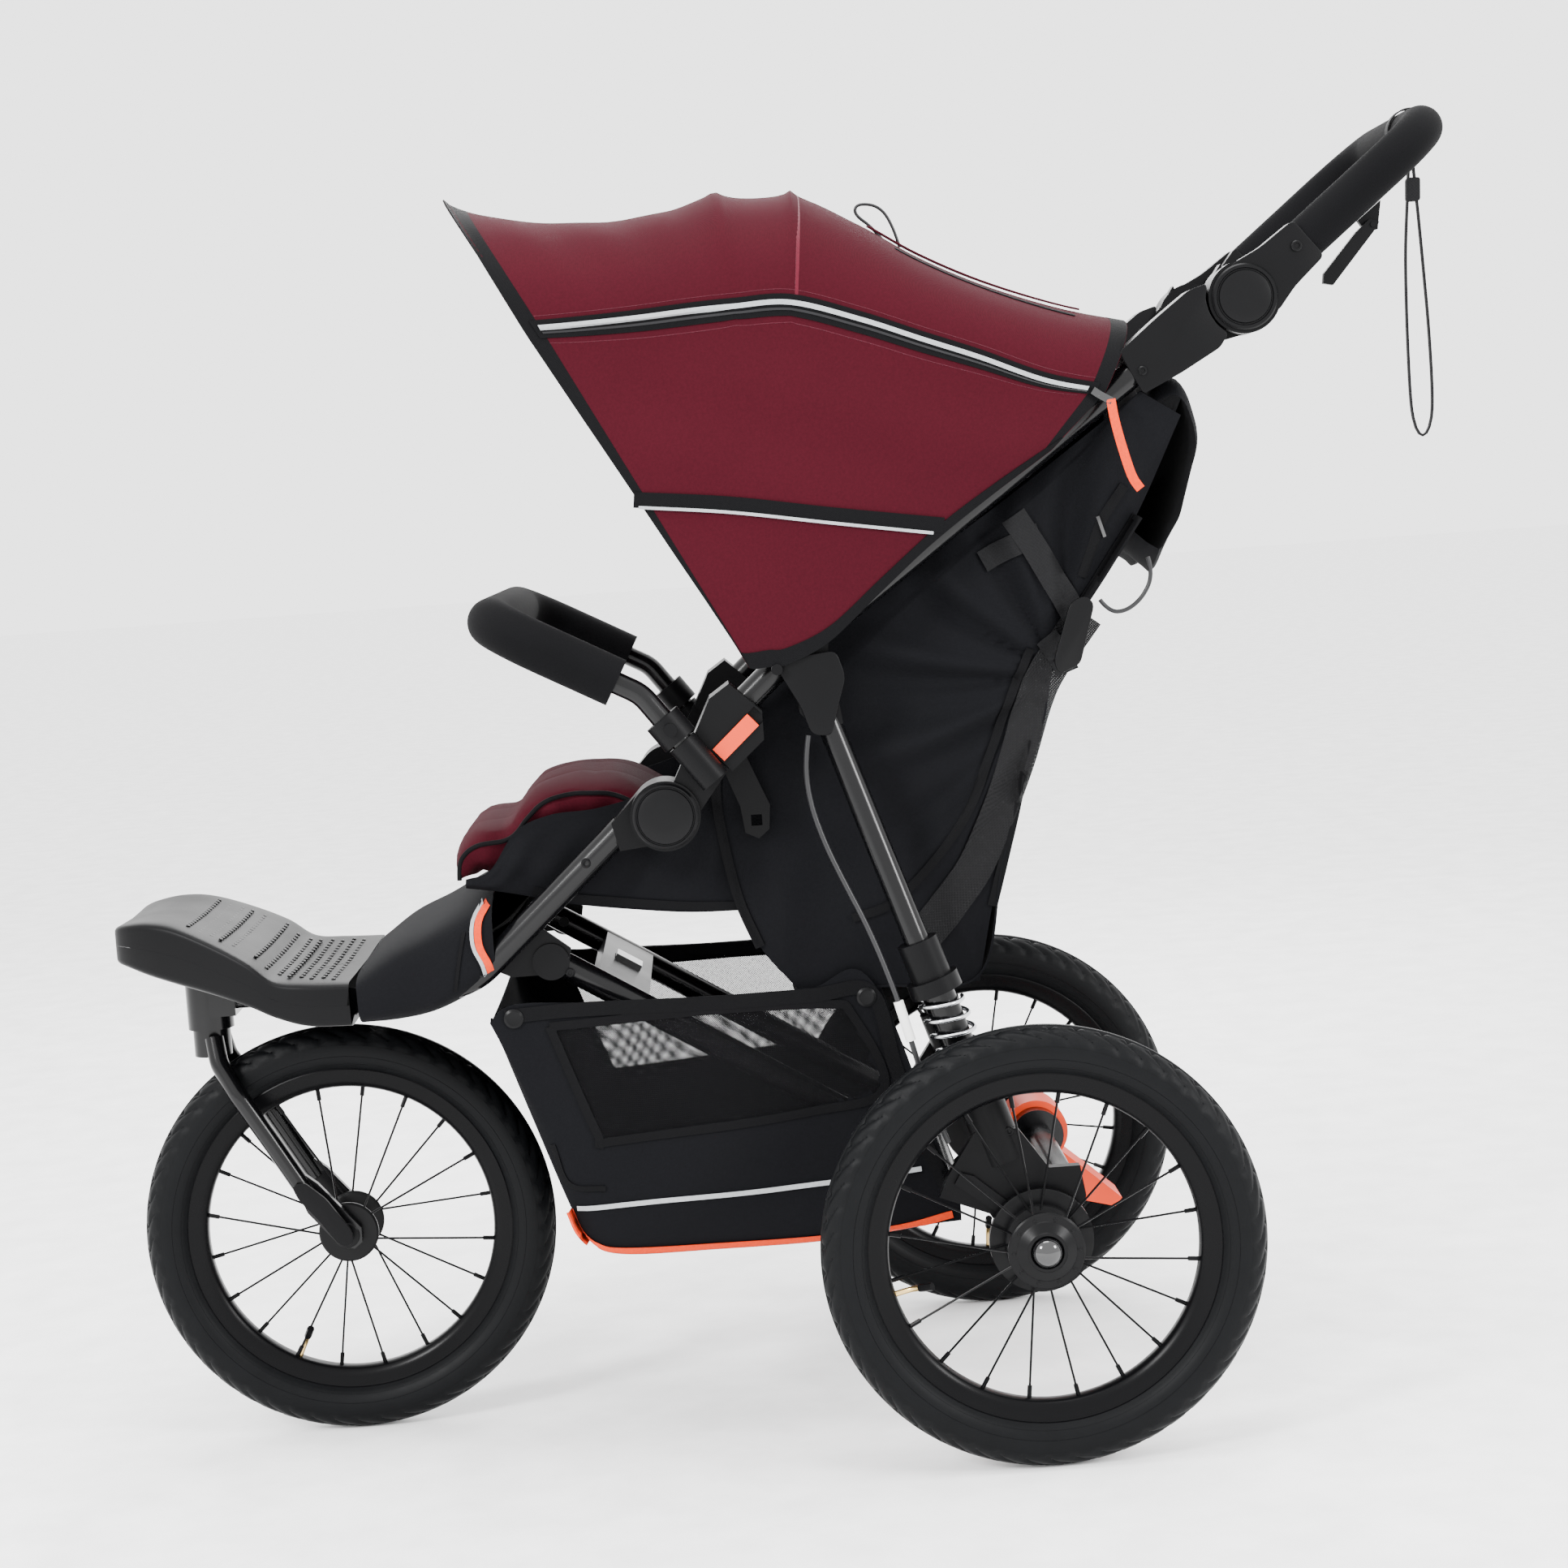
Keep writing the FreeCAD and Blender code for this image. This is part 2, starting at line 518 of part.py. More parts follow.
lug = slab("leg_lug", [(-180, 716), (-168, 710), (-156, 716), (-150, 758), (-186, 740)], 184, 206)
lug = cut("leg_lug_cut", lug, [disc("leg_lug_bore", "pin_radius + pin_fit", LEG_PIVOT, 180, 210),
                               bent_tube("leg_lug_room", "tube_radius", UPPER_TUBE, 150)])
canopy_pivot = disc("canopy_pivot", "pin_radius", CANOPY_PIVOT, 206, 226)
pivot_set = group("pivot_set", [lug, cut("canopy_pivot_cut", canopy_pivot, [upper_tube])])
node(both_sides("pivots_pair", pivot_set), "leg_and_canopy_pivots")

boot = fuse("strut_boot_solid", [bar("strut_collar", 24, leg_at(426.5), leg_at(440)),
                                 bar("strut_boot", 18.5, leg_at(439), leg_at(474))])
node(both_sides("boots_pair", cut("strut_boot_cut", boot, [leg_tube, strut])), "suspension_collars")


def largest_bends(route):
    """Each arc as large as the two runs beside it allow."""
    radii = []
    for before, corner, after in zip(route, route[1:], route[2:]):
        back, ahead = Vector(*before) - Vector(*corner), Vector(*after) - Vector(*corner)
        half_turn = (math.pi - back.getAngle(ahead)) / 2
        radii.append(0.45 * min(back.Length, ahead.Length) / math.tan(half_turn))
    return radii


def coil_spring(name, x):
    """A round-wire compression spring round the strut."""
    radius, pitch, steps = size("spring_radius") - size("spring_wire"), size("spring_pitch"), 10
    low, top = Vector(*leg_at(334)), Vector(*leg_at(422))
    turns = (top - low).Length / pitch
    route = []
    for index in range(int(turns * steps) + 1):
        angle = 2 * math.pi * index / steps
        route.append((radius * math.cos(angle), radius * math.sin(angle), pitch * index / steps))
    coil = bent_tube(name, "spring_wire", route, largest_bends(route))
    run = top - low
    low.x = x
    coil.Placement = Placement(low, Rotation(Vector(0, 0, 1), run))
    return coil


node(coil_spring("spring_left_body", STRUT_X), "spring_left")
node(coil_spring("spring_right_body", -STRUT_X), "spring_right")

CABLE_RADIUS = 2.5
CABLE_ROUTE = [(219, -176, 664), (220, -181, 640), (223, -179, 604), (226, -168, 566), (229, -153, 530),
               (233, -137, 494), (238, -124, 458), (242, -113, 422), (245, -104, 386), (247, -96, 352),
               (249, -87, 320), (250, -77, 292)]
cable_radii = largest_bends(CABLE_ROUTE)
print("cable radii", [round(r) for r in cable_radii])
cable = node(bent_tube("cable", CABLE_RADIUS, CABLE_ROUTE, cable_radii), "brake_cable")
cable_room = bent_tube("cable_room", CABLE_RADIUS, CABLE_ROUTE, cable_radii)
adjuster = bar("adjuster", 4.5, CABLE_ROUTE[7], CABLE_ROUTE[8])
node(cut("adjuster_cut", adjuster, [cable_room]), "cable_adjuster")

# ---- Rear axle: beam, shaft, carriers, drum arms, foot brake --------------------------------------

beam_end = 236.0
beam = rod("beam", "beam_radius", 2 * beam_end, (-beam_end, *BRAKE_CENTRE))
pivot_shaft = rod("pivot_shaft", 8, 2 * beam_end, (-beam_end, *CHASSIS_REAR))
brake_housing = cut("brake_housing_cut", disc("brake_housing_solid", "brake_radius", BRAKE_CENTRE, -44, 44),
                    [beam])
node(group("axle_group", [beam, pivot_shaft, brake_housing]), "rear_axle_beams")

carrier_outline = [(-88, 242), (-80, 260), (-52, 300), (-14, 300), (12, 262), (40, 262), (44, 234),
                   (20, 184), (0, 176), (-20, 184), (-44, 224)]
carrier_plate = slab("carrier_plate", carrier_outline, 236, 247.5)
cup = bar("carrier_cup", 20.5, leg_at(330), leg_at(270))
cup_bore = bar("carrier_cup_bore", "strut_radius + pin_fit", leg_at(340), leg_at(297))
stub = disc("stub_axle", "axle_radius", REAR_AXLE, 246, 292)
carrier = cut("carrier", fuse("carrier_solid", [carrier_plate, cup, stub]), [cup_bore, beam, pivot_shaft])
node(both_sides("carriers_pair", carrier), "wheel_carriers")

ARM_PIVOT = (-30.0, 228.0)
arm_outline = [turned_about(ARM_PIVOT, 8, a) for a in (20, -40, -100, -160)]
arm_outline += [(-74, 254), (-68, 264), (-56, 260)]
left_and_right("drum_brake_arm", slab("drum_arm", arm_outline, 248, 251.5))

pedal_ring = disc("pedal_ring", 31, BRAKE_CENTRE, -27, 27)
tread = slab("pedal_tread", [(14, 222), (14, 203), (60, 178), (97, 168), (104, 176), (80, 198), (46, 228)],
             -27, 27)
pedal_bore = disc("pedal_bore", "brake_radius + pin_fit", BRAKE_CENTRE, -40, 40)
node(cut("pedal", fuse("pedal_solid", [pedal_ring, tread]), [pedal_bore]), "foot_brake_pedal")

# ---- Chassis tubes with the fold latch -------------------------------------------------------------

chassis = size("chassis_half")
tube_start, tube_end = along(CHASSIS_FRONT, CHASSIS_REAR, -15), along(CHASSIS_FRONT, CHASSIS_REAR, 388)
chassis_tube = cut("chassis_tube", bar("chassis_bar", "tube_radius", (chassis, *tube_start), (chassis, *tube_end)),
                   [disc("chassis_bore", "pin_radius + pin_fit", CHASSIS_FRONT, 100, 160)])
node(both_sides("chassis_pair", chassis_tube), "lower_chassis_tubes")
LATCH_PLACE = along(CHASSIS_FRONT, CHASSIS_REAR, 70)
LATCH_LINE = (CHASSIS_REAR[0] - CHASSIS_FRONT[0], CHASSIS_REAR[1] - CHASSIS_FRONT[1])
latch = slab("latch_bar", strip(LATCH_PLACE, LATCH_LINE, -26, 26, -10, 11), -130, 130)
latch_rooms = [chassis_tube, mirrored("chassis_tube_other", chassis_tube)]
latch_pocket = slab("latch_pocket", strip(LATCH_PLACE, LATCH_LINE, -14, 14, 4, 20), -16.2, 16.2)
node(cut("latch", latch, latch_rooms + [latch_pocket]), "fold_latch_bracket")
latch_button = slab("latch_button", strip(LATCH_PLACE, LATCH_LINE, -13.6, 13.6, 8, 16), -16, 16)
node(latch_button, "fold_release_button")

# ---- Footplate and front apron -----------------------------------------------------------------------

plate_side = [(-838, 486), (-714, 447), (-671, 427), (-632, 420), (-611, 422), (-611, 463), (-677, 468),
              (-705, 492), (-779, 526), (-826, 522)]
plate_plan = [(-165, -600), (-165, -640), (-150, -700), (-118, -790), (-84, -828), (84, -828), (118, -790),
              (150, -700), (165, -640), (165, -600)]
plate_outer = common("plate_outer", wide_slab("plate_side", plate_side, "footplate_half"),
                     slab("plate_plan", plate_plan, 400, 560, "XY_Plane"))
room_side = [(-850, 480), (-714, 430), (-600, 400), (-600, 459), (-678, 463), (-707, 487), (-779, 521),
             (-822, 515)]
room_plan = [(x * 0.965, y + (4 if y < -800 else 0)) for x, y in plate_plan]
room_plan[0], room_plan[-1] = (-159, -590), (159, -590)
plate_room = common("plate_room", wide_slab("room_side", room_side, "footplate_half"),
                    slab("room_plan", room_plan, 390, 560, "XY_Plane"))
node(cut("footplate_cut", plate_outer, [plate_room]), "footplate")

APRON_STATIONS = [(-478, 453, 535, 184), (-520, 430, 512, 182), (-566, 420, 494, 176), (-604, 419, 468, 170)]


def apron_skin(inset, overrun):
    """The apron's volume from upright sections, drawn in by a wall and run past both ends."""
    wires = []
    last = len(APRON_STATIONS) - 1
    for index, (y, low, top, half_width) in enumerate(APRON_STATIONS):
        y += overrun * ((index == 0) - (index == last))
        x, low, top = half_width - inset, low + inset, top - inset
        corners = [Vector(-x, y, low), Vector(x, y, low), Vector(x, y, top), Vector(-x, y, top)]
        wires.append(Part.makePolygon(corners + corners[:1]))
    return Part.makeLoft(wires, True, True)


apron = doc.addObject("Part::Feature", "apron")
apron.Shape = apron_skin(0, 0).cut(apron_skin(size("cloth") / 2, 2))
node(apron, "front_apron")

# ---- Seat, backrest, side panels, pouch ---------------------------------------------------------------

seat_outline = [(-500, 542), (-440, 531), (-404, 523), (-294, 508), (-184, 504), (-146, 506), (-140, 545),
                (-200, 566), (-300, 586), (-361, 622), (-412, 620), (-433, 602), (-455, 577), (-488, 577),
                (-503, 560)]
node(wide_slab("seat_body", seat_outline, "seat_half"), "seat_base")

side_outline = [(-262, 648), (-190, 715), (150, 952), (188, 930), (136, 835), (62, 722), (43, 649),
                (-2, 533), (-30, 430), (-198, 423), (-232, 467), (-244, 495), (-256, 540), (-262, 600)]
side_inner = size("side_inner")
side_panel = slab("side_panel", side_outline, side_inner, side_inner + size("cloth"))
node(both_sides("side_panels_pair", side_panel), "seat_side_panels")

back_outline = [(-122, 528), (-42, 904), (-30, 908), (-18, 899), (-98, 523), (-110, 516)]
node(wide_slab("backrest_body", back_outline, "seat_half - 3"), "backrest")

pouch_outer = [(-203, 426), (-31, 427), (1, 533), (46, 649), (65, 722), (122, 800)]
pouch_inner = [(117, 802), (61, 724), (42, 651), (-3, 536), (-35, 431), (-203, 431)]
pouch = wide_slab("pouch_body", pouch_outer + pouch_inner, "seat_half")
flap_outline = [(128, 808), (157, 790), (185, 846), (203, 920), (186, 958), (160, 952), (158, 905), (146, 850)]
node(group("pouch_pair", [pouch, wide_slab("flap_body", flap_outline, "seat_half")]), "rear_pouch")

# ---- Basket --------------------------------------------------------------------------------------------

basket_outer = [(-486, 414), (-423, 227), (-407, 196), (-378, 184), (-197, 183), (-60, 196), (-62, 218),
                (-92, 240), (-128, 428), (-285, 427), (-411, 429), (-452, 434)]
basket_inner = [(-482, 417), (-419.5, 229), (-404, 199), (-377, 188), (-197, 187), (-64, 200), (-64, 219),
                (-40, 219), (-40, 470), (-478, 470)]
basket = cut("basket_cut", wide_slab("basket_outer", basket_outer, "basket_half"),
             [wide_slab("basket_inner", basket_inner, "basket_half - cloth")])
node(basket, "basket")

# ---- Canopy ---------------------------------------------------------------------------------------------

rear_outer = [(-196, 748), (-60, 832), (100, 928), (140, 972), (154, 1020), (103, 1029), (9, 1064),
              (-63, 1102), (-95, 1126), (-150, 1154), (-196, 1157)]
rear_room = [(-230, 700), (90, 700), (96, 931), (136, 974), (149, 1017), (101, 1025), (7, 1060),
             (-65, 1098), (-97, 1122), (-151, 1150), (-196, 1153), (-230, 1153)]
tube_room = bent_tube("tube_room", "tube_radius + 0.5", UPPER_TUBE, 150)
canopy_rear = cut("canopy_rear_cut", wide_slab("canopy_rear_outer", rear_outer, "canopy_rear_half"),
                  [wide_slab("canopy_rear_room", rear_room, "canopy_rear_half - 3.5"), tube_room,
                   mirrored("tube_room_other", tube_room)])
node(canopy_rear, "canopy_rear")

front_outer = [(-190, 716), (-210, 714), (-236, 741), (-302, 868), (-376, 951), (-399, 1034), (-467, 1142),
               (-476, 1164), (-462, 1166), (-359, 1160), (-284, 1162), (-214, 1164), (-188, 740)]
front_room = [(-150, 690), (-300, 690), (-500, 900), (-500, 1140), (-470, 1158), (-459, 1162), (-359, 1156),
              (-284, 1158), (-212, 1160), (-150, 1160)]
canopy_bore = rod("canopy_bore", "pin_radius + pin_fit", 500, (-250, *CANOPY_PIVOT))
canopy_front = cut("canopy_front_cut", wide_slab("canopy_front_outer", front_outer, "canopy_front_half"),
                   [wide_slab("canopy_front_room", front_room, "canopy_front_half - 3.5"), canopy_bore])
node(canopy_front, "canopy_front")

# ---- Checks and files -------------------------------------------------------------------------------------

doc.recompute()
faults = [item.Label for item in doc.Objects if {"Invalid", "Error"} & set(item.State)]
faults += [item.Label for item in nodes if item.Shape.isNull() or not item.Shape.isValid()]
if faults:
    raise RuntimeError(f"failed objects: {faults}")
cable_length = bent_wire(CABLE_ROUTE, cable_radii).Length
print("cable", round(cable_length, 1), "mm; volume ratio",
      round(cable.Shape.Volume / (math.pi * CABLE_RADIUS ** 2 * cable_length), 4))
os.makedirs("parts", exist_ok=True)
for item in nodes:
    item.Shape.exportStep(f"parts/{item.Label}.step")
print(len(nodes), "nodes; shift", SHIFT)
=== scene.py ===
"""Looks of the three-wheel stroller: wheels, joints, foam, fabric and their finishes."""

import json
import logging
import math
from collections.abc import Callable, Sequence
from dataclasses import dataclass, field
from enum import Enum

import bmesh
import bpy
from mathutils import Matrix, Vector
from mathutils.bvhtree import BVHTree


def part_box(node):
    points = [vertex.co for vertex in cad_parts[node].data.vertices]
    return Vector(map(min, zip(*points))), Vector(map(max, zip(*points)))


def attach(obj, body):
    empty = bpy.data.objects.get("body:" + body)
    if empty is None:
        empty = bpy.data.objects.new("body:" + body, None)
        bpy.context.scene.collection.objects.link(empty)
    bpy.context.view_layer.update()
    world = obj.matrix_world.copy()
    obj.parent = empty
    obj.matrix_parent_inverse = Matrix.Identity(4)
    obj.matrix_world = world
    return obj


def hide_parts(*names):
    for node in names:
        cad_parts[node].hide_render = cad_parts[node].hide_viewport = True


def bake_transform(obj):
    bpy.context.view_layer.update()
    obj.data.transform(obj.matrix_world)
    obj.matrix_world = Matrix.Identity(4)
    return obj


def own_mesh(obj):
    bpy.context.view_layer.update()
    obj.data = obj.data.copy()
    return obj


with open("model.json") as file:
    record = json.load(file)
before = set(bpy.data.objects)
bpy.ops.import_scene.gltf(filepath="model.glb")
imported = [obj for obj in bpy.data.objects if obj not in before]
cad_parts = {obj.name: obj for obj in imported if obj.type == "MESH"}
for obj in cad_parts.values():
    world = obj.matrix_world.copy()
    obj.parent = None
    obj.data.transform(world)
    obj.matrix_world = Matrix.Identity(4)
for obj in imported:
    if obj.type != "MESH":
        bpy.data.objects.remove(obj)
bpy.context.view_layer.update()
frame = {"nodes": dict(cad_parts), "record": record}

log = logging.getLogger("stroller")
MM = 0.001
WELD = 2e-5
CRISP, SOFT = 32.0, 60.0
HUB_LOW, HUB_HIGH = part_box("rear_left_hub")
AXLE_Y = (HUB_LOW[1] + HUB_HIGH[1]) / 2
REAR_AXLE = (0.0, (HUB_LOW[2] + HUB_HIGH[2]) / 2 / MM)
TRACK = (HUB_LOW[0] + HUB_HIGH[0]) / 2 / MM + 0.5
Point2 = tuple[float, float]
Point3 = tuple[float, float, float]


def at(x: float, y: float, z: float) -> Vector:
    """The point at millimetres from the rear axle line, in the row frame's metres."""
    return Vector((x * MM, y * MM + AXLE_Y, z * MM))


# ---- Shader maths ---------------------------------------------------------------------------------

class Value:
    """A socket that can be added, multiplied and compared like a number."""

    def __init__(self, shader: "Shader", socket: bpy.types.NodeSocket) -> None:
        """Keep the shader that owns the socket."""
        self.shader = shader
        self.socket = socket

    def _math(self, operation: str, *values: "Value | float") -> "Value":
        """One Math node on these values."""
        return self.shader.node("ShaderNodeMath", {"operation": operation}, *values)

    def __add__(self, other: "Value | float") -> "Value":
        """Sum."""
        return self._math("ADD", self, other)

    def __radd__(self, other: float) -> "Value":
        """Sum with a number on the left."""
        return self._math("ADD", other, self)

    def __sub__(self, other: "Value | float") -> "Value":
        """Difference."""
        return self._math("SUBTRACT", self, other)

    def __rsub__(self, other: float) -> "Value":
        """Difference from a number."""
        return self._math("SUBTRACT", other, self)

    def __mul__(self, other: "Value | float") -> "Value":
        """Product."""
        return self._math("MULTIPLY", self, other)

    def __rmul__(self, other: float) -> "Value":
        """Product with a number on the left."""
        return self._math("MULTIPLY", other, self)

    def __gt__(self, other: float) -> "Value":
        """1 where greater, else 0."""
        return self._math("GREATER_THAN", self, other)

    def sine(self) -> "Value":
        """The sine of the value."""
        return self._math("SINE", self)

    def size(self) -> "Value":
        """The value without its sign."""
        return self._math("ABSOLUTE", self)


class Shader:
    """A material and the one way in which its nodes are made."""

    def __init__(self, name: str) -> None:
        """Start a material that has only its surface shader and output."""
        self.material = bpy.data.materials.new(name)
        self.material.use_nodes = True
        self.tree = self.material.node_tree
        self.surface = self.tree.nodes["Principled BSDF"]

    def node(self, kind: str, settings: dict | None = None, *values: "Value | float | tuple",
             output: int = 0) -> Value:
        """Make a node.

        Args:
            kind: the node's type.
            settings: properties that are set before its sockets are used.
            values: links or numbers for its enabled inputs, in order; None leaves one alone.
            output: which enabled output to return.

        Returns:
            The chosen output.
        """
        made = self.tree.nodes.new(kind)
        for key, setting in (settings or {}).items():
            setattr(made, key, setting)
        inputs = [socket for socket in made.inputs if socket.enabled]
        for socket, value in zip(inputs, values):
            if isinstance(value, Value):
                self.tree.links.new(value.socket, socket)
            elif value is not None:
                socket.default_value = value
        return Value(self, [socket for socket in made.outputs if socket.enabled][output])

    def place(self) -> tuple[Value, Value, Value, Value]:
        """The object coordinates as a vector and as three numbers, in metres."""
        vector = self.node("ShaderNodeTexCoord", output=3)
        split = [self.node("ShaderNodeSeparateXYZ", None, vector, output=n) for n in range(3)]
        return vector, split[0], split[1], split[2]

    def noise(self, vector: Value, scale: float, detail: float = 3.0, rough: float = 0.55) -> Value:
        """A noise value about 0.5, with a scale in cells to the metre."""
        return self.node("ShaderNodeTexNoise", None, vector, scale, detail, rough)

    def blend(self, amount: Value, low: Point3, high: Point3) -> Value:
        """A colour between two, by an amount from 0 to 1."""
        made = self.tree.nodes.new("ShaderNodeMix")
        made.data_type = "RGBA"
        self.tree.links.new(amount.socket, made.inputs["Factor"])
        made.inputs[6].default_value = (*low, 1.0)
        made.inputs[7].default_value = (*high, 1.0)
        return Value(self, made.outputs[2])

    def feed(self, name: str, value: "Value | float | tuple") -> None:
        """Link or set one input of the surface shader."""
        socket = self.surface.inputs[name]
        if isinstance(value, Value):
            self.tree.links.new(value.socket, socket)
        else:
            socket.default_value = value

    def bump(self, height: Value, strength: float, distance: float) -> None:
        """Raise the surface by a height, over a distance in metres."""
        made = self.tree.nodes.new("ShaderNodeBump")
        made.inputs["Strength"].default_value = strength
        made.inputs["Distance"].default_value = distance
        self.tree.links.new(height.socket, made.inputs["Height"])
        self.feed("Normal", Value(self, made.outputs["Normal"]))


@dataclass(frozen=True)
class Finish:
    """What every finish has: a name, a colour and a roughness."""

    name: str
    colour: Point3
    roughness: float = 0.5

    def material(self) -> bpy.types.Material:
        """The finish's material, made once."""
        return bpy.data.materials.get(self.name) or self.build(Shader(self.name))

    def shades(self, spread: float) -> tuple[Point3, Point3]:
        """A darker and a lighter version of the colour."""
        return (tuple(c * (1 - spread) for c in self.colour), tuple(c * (1 + spread) for c in self.colour))

    def build(self, shader: Shader) -> bpy.types.Material:
        """Link the finish's nodes; the kinds of finish say how."""
        raise NotImplementedError


@dataclass(frozen=True)
class Moulded(Finish):
    """Moulded plastic or paint: a fine grain and soft handling marks."""

    grain: float = 900.0
    depth: float = 0.00012
    metallic: float = 0.0
    coat: float = 0.0
    shine: float = 0.25

    def build(self, shader: Shader) -> bpy.types.Material:
        """Grain in the bump, broad marks in the roughness and a slight drift of colour."""
        vector, *_ = shader.place()
        marks = shader.noise(vector, 14.0, 4.0)
        grain = shader.noise(vector, self.grain, 2.0)
        shader.feed("Base Color", shader.blend(marks, *self.shades(0.16)))
        shader.feed("Roughness", self.roughness + (marks - 0.5) * 0.16 + (grain - 0.5) * 0.06)
        shader.feed("Metallic", self.metallic)
        shader.feed("Coat Weight", self.coat)
        shader.feed("Specular IOR Level", self.shine)
        shader.bump(grain, 0.5, self.depth)
        return shader.material


@dataclass(frozen=True)
class Woven(Finish):
    """Plain-woven cloth: crossed threads, slubs, a soft sheen and faint creases."""

    thread: float = 0.0011
    sheen: float = 0.25
    crease: float = 0.0012

    def build(self, shader: Shader) -> bpy.types.Material:
        """Threads run along Y and along X with Z, so walls and roofs both show them."""
        vector, x, y, z = shader.place()
        turn = 2 * math.pi / self.thread
        threads = (y * turn).sine() * ((x + z) * turn).sine()
        slubs = shader.noise(vector, 420.0, 2.0)
        broad = shader.noise(vector, 6.5, 3.0)
        tone = threads * 0.16 + slubs * 0.62 + broad * 0.3
        shader.feed("Base Color", shader.blend(tone, *self.shades(0.34)))
        shader.feed("Roughness", self.roughness)
        shader.feed("Sheen Weight", self.sheen)
        shader.feed("Sheen Roughness", 0.4)
        shader.feed("Specular IOR Level", 0.05)
        fold = self.crease / 0.0002
        shader.bump(threads * 0.5 + slubs * 0.6 + broad * fold, 0.55, 0.0002)
        return shader.material


@dataclass(frozen=True)
class Netting(Finish):
    """Open mesh whose round holes show what is behind."""

    pitch: float = 0.0026
    opening: float = 0.0

    def build(self, shader: Shader) -> bpy.types.Material:
        """Holes where two crossed waves meet, the next row set half a pitch over."""
        vector, x, y, z = shader.place()
        turn = 2 * math.pi / self.pitch
        cell = ((y + z) * (turn * 0.7)).sine() * ((y - z) * (turn * 0.7) + x * (turn * 0.7)).sine()
        shader.feed("Alpha", 1.0 - (cell.size() > self.opening) * 0.86)
        slubs = shader.noise(vector, 600.0)
        shader.feed("Base Color", shader.blend(slubs, *self.shades(0.3)))
        shader.feed("Roughness", self.roughness)
        shader.feed("Specular IOR Level", 0.05)
        shader.bump(cell + slubs * 0.4, 0.6, 0.0003)
        return shader.material


@dataclass(frozen=True)
class Foam(Finish):
    """Closed-cell foam under a fine knit: deep grain and a dull face."""

    def build(self, shader: Shader) -> bpy.types.Material:
        """Two sizes of pore in the bump."""
        vector, *_ = shader.place()
        pores = shader.noise(vector, 700.0, 2.0)
        dents = shader.noise(vector, 30.0, 3.0)
        shader.feed("Base Color", shader.blend(pores * 0.7 + dents * 0.3, *self.shades(0.4)))
        shader.feed("Roughness", self.roughness + (pores - 0.5) * 0.1)
        shader.feed("Sheen Weight", 0.01)
        shader.feed("Specular IOR Level", 0.06)
        shader.bump(pores + dents * 2.0, 0.5, 0.0004)
        return shader.material


@dataclass(frozen=True)
class TyreRubber(Finish):
    """Tyre rubber: dull, faintly dusty, with a fine skin."""

    def build(self, shader: Shader) -> bpy.types.Material:
        """Dust lifts the colour and the roughness together."""
        vector, *_ = shader.place()
        dust = shader.noise(vector, 45.0, 5.0, 0.7)
        skin = shader.noise(vector, 1200.0, 2.0)
        shader.feed("Base Color", shader.blend(dust, *self.shades(0.35)))
        shader.feed("Roughness", self.roughness + (dust - 0.5) * 0.25)
        shader.feed("Specular IOR Level", 0.07)
        shader.bump(skin + dust * 0.6, 0.4, 0.0003)
        return shader.material


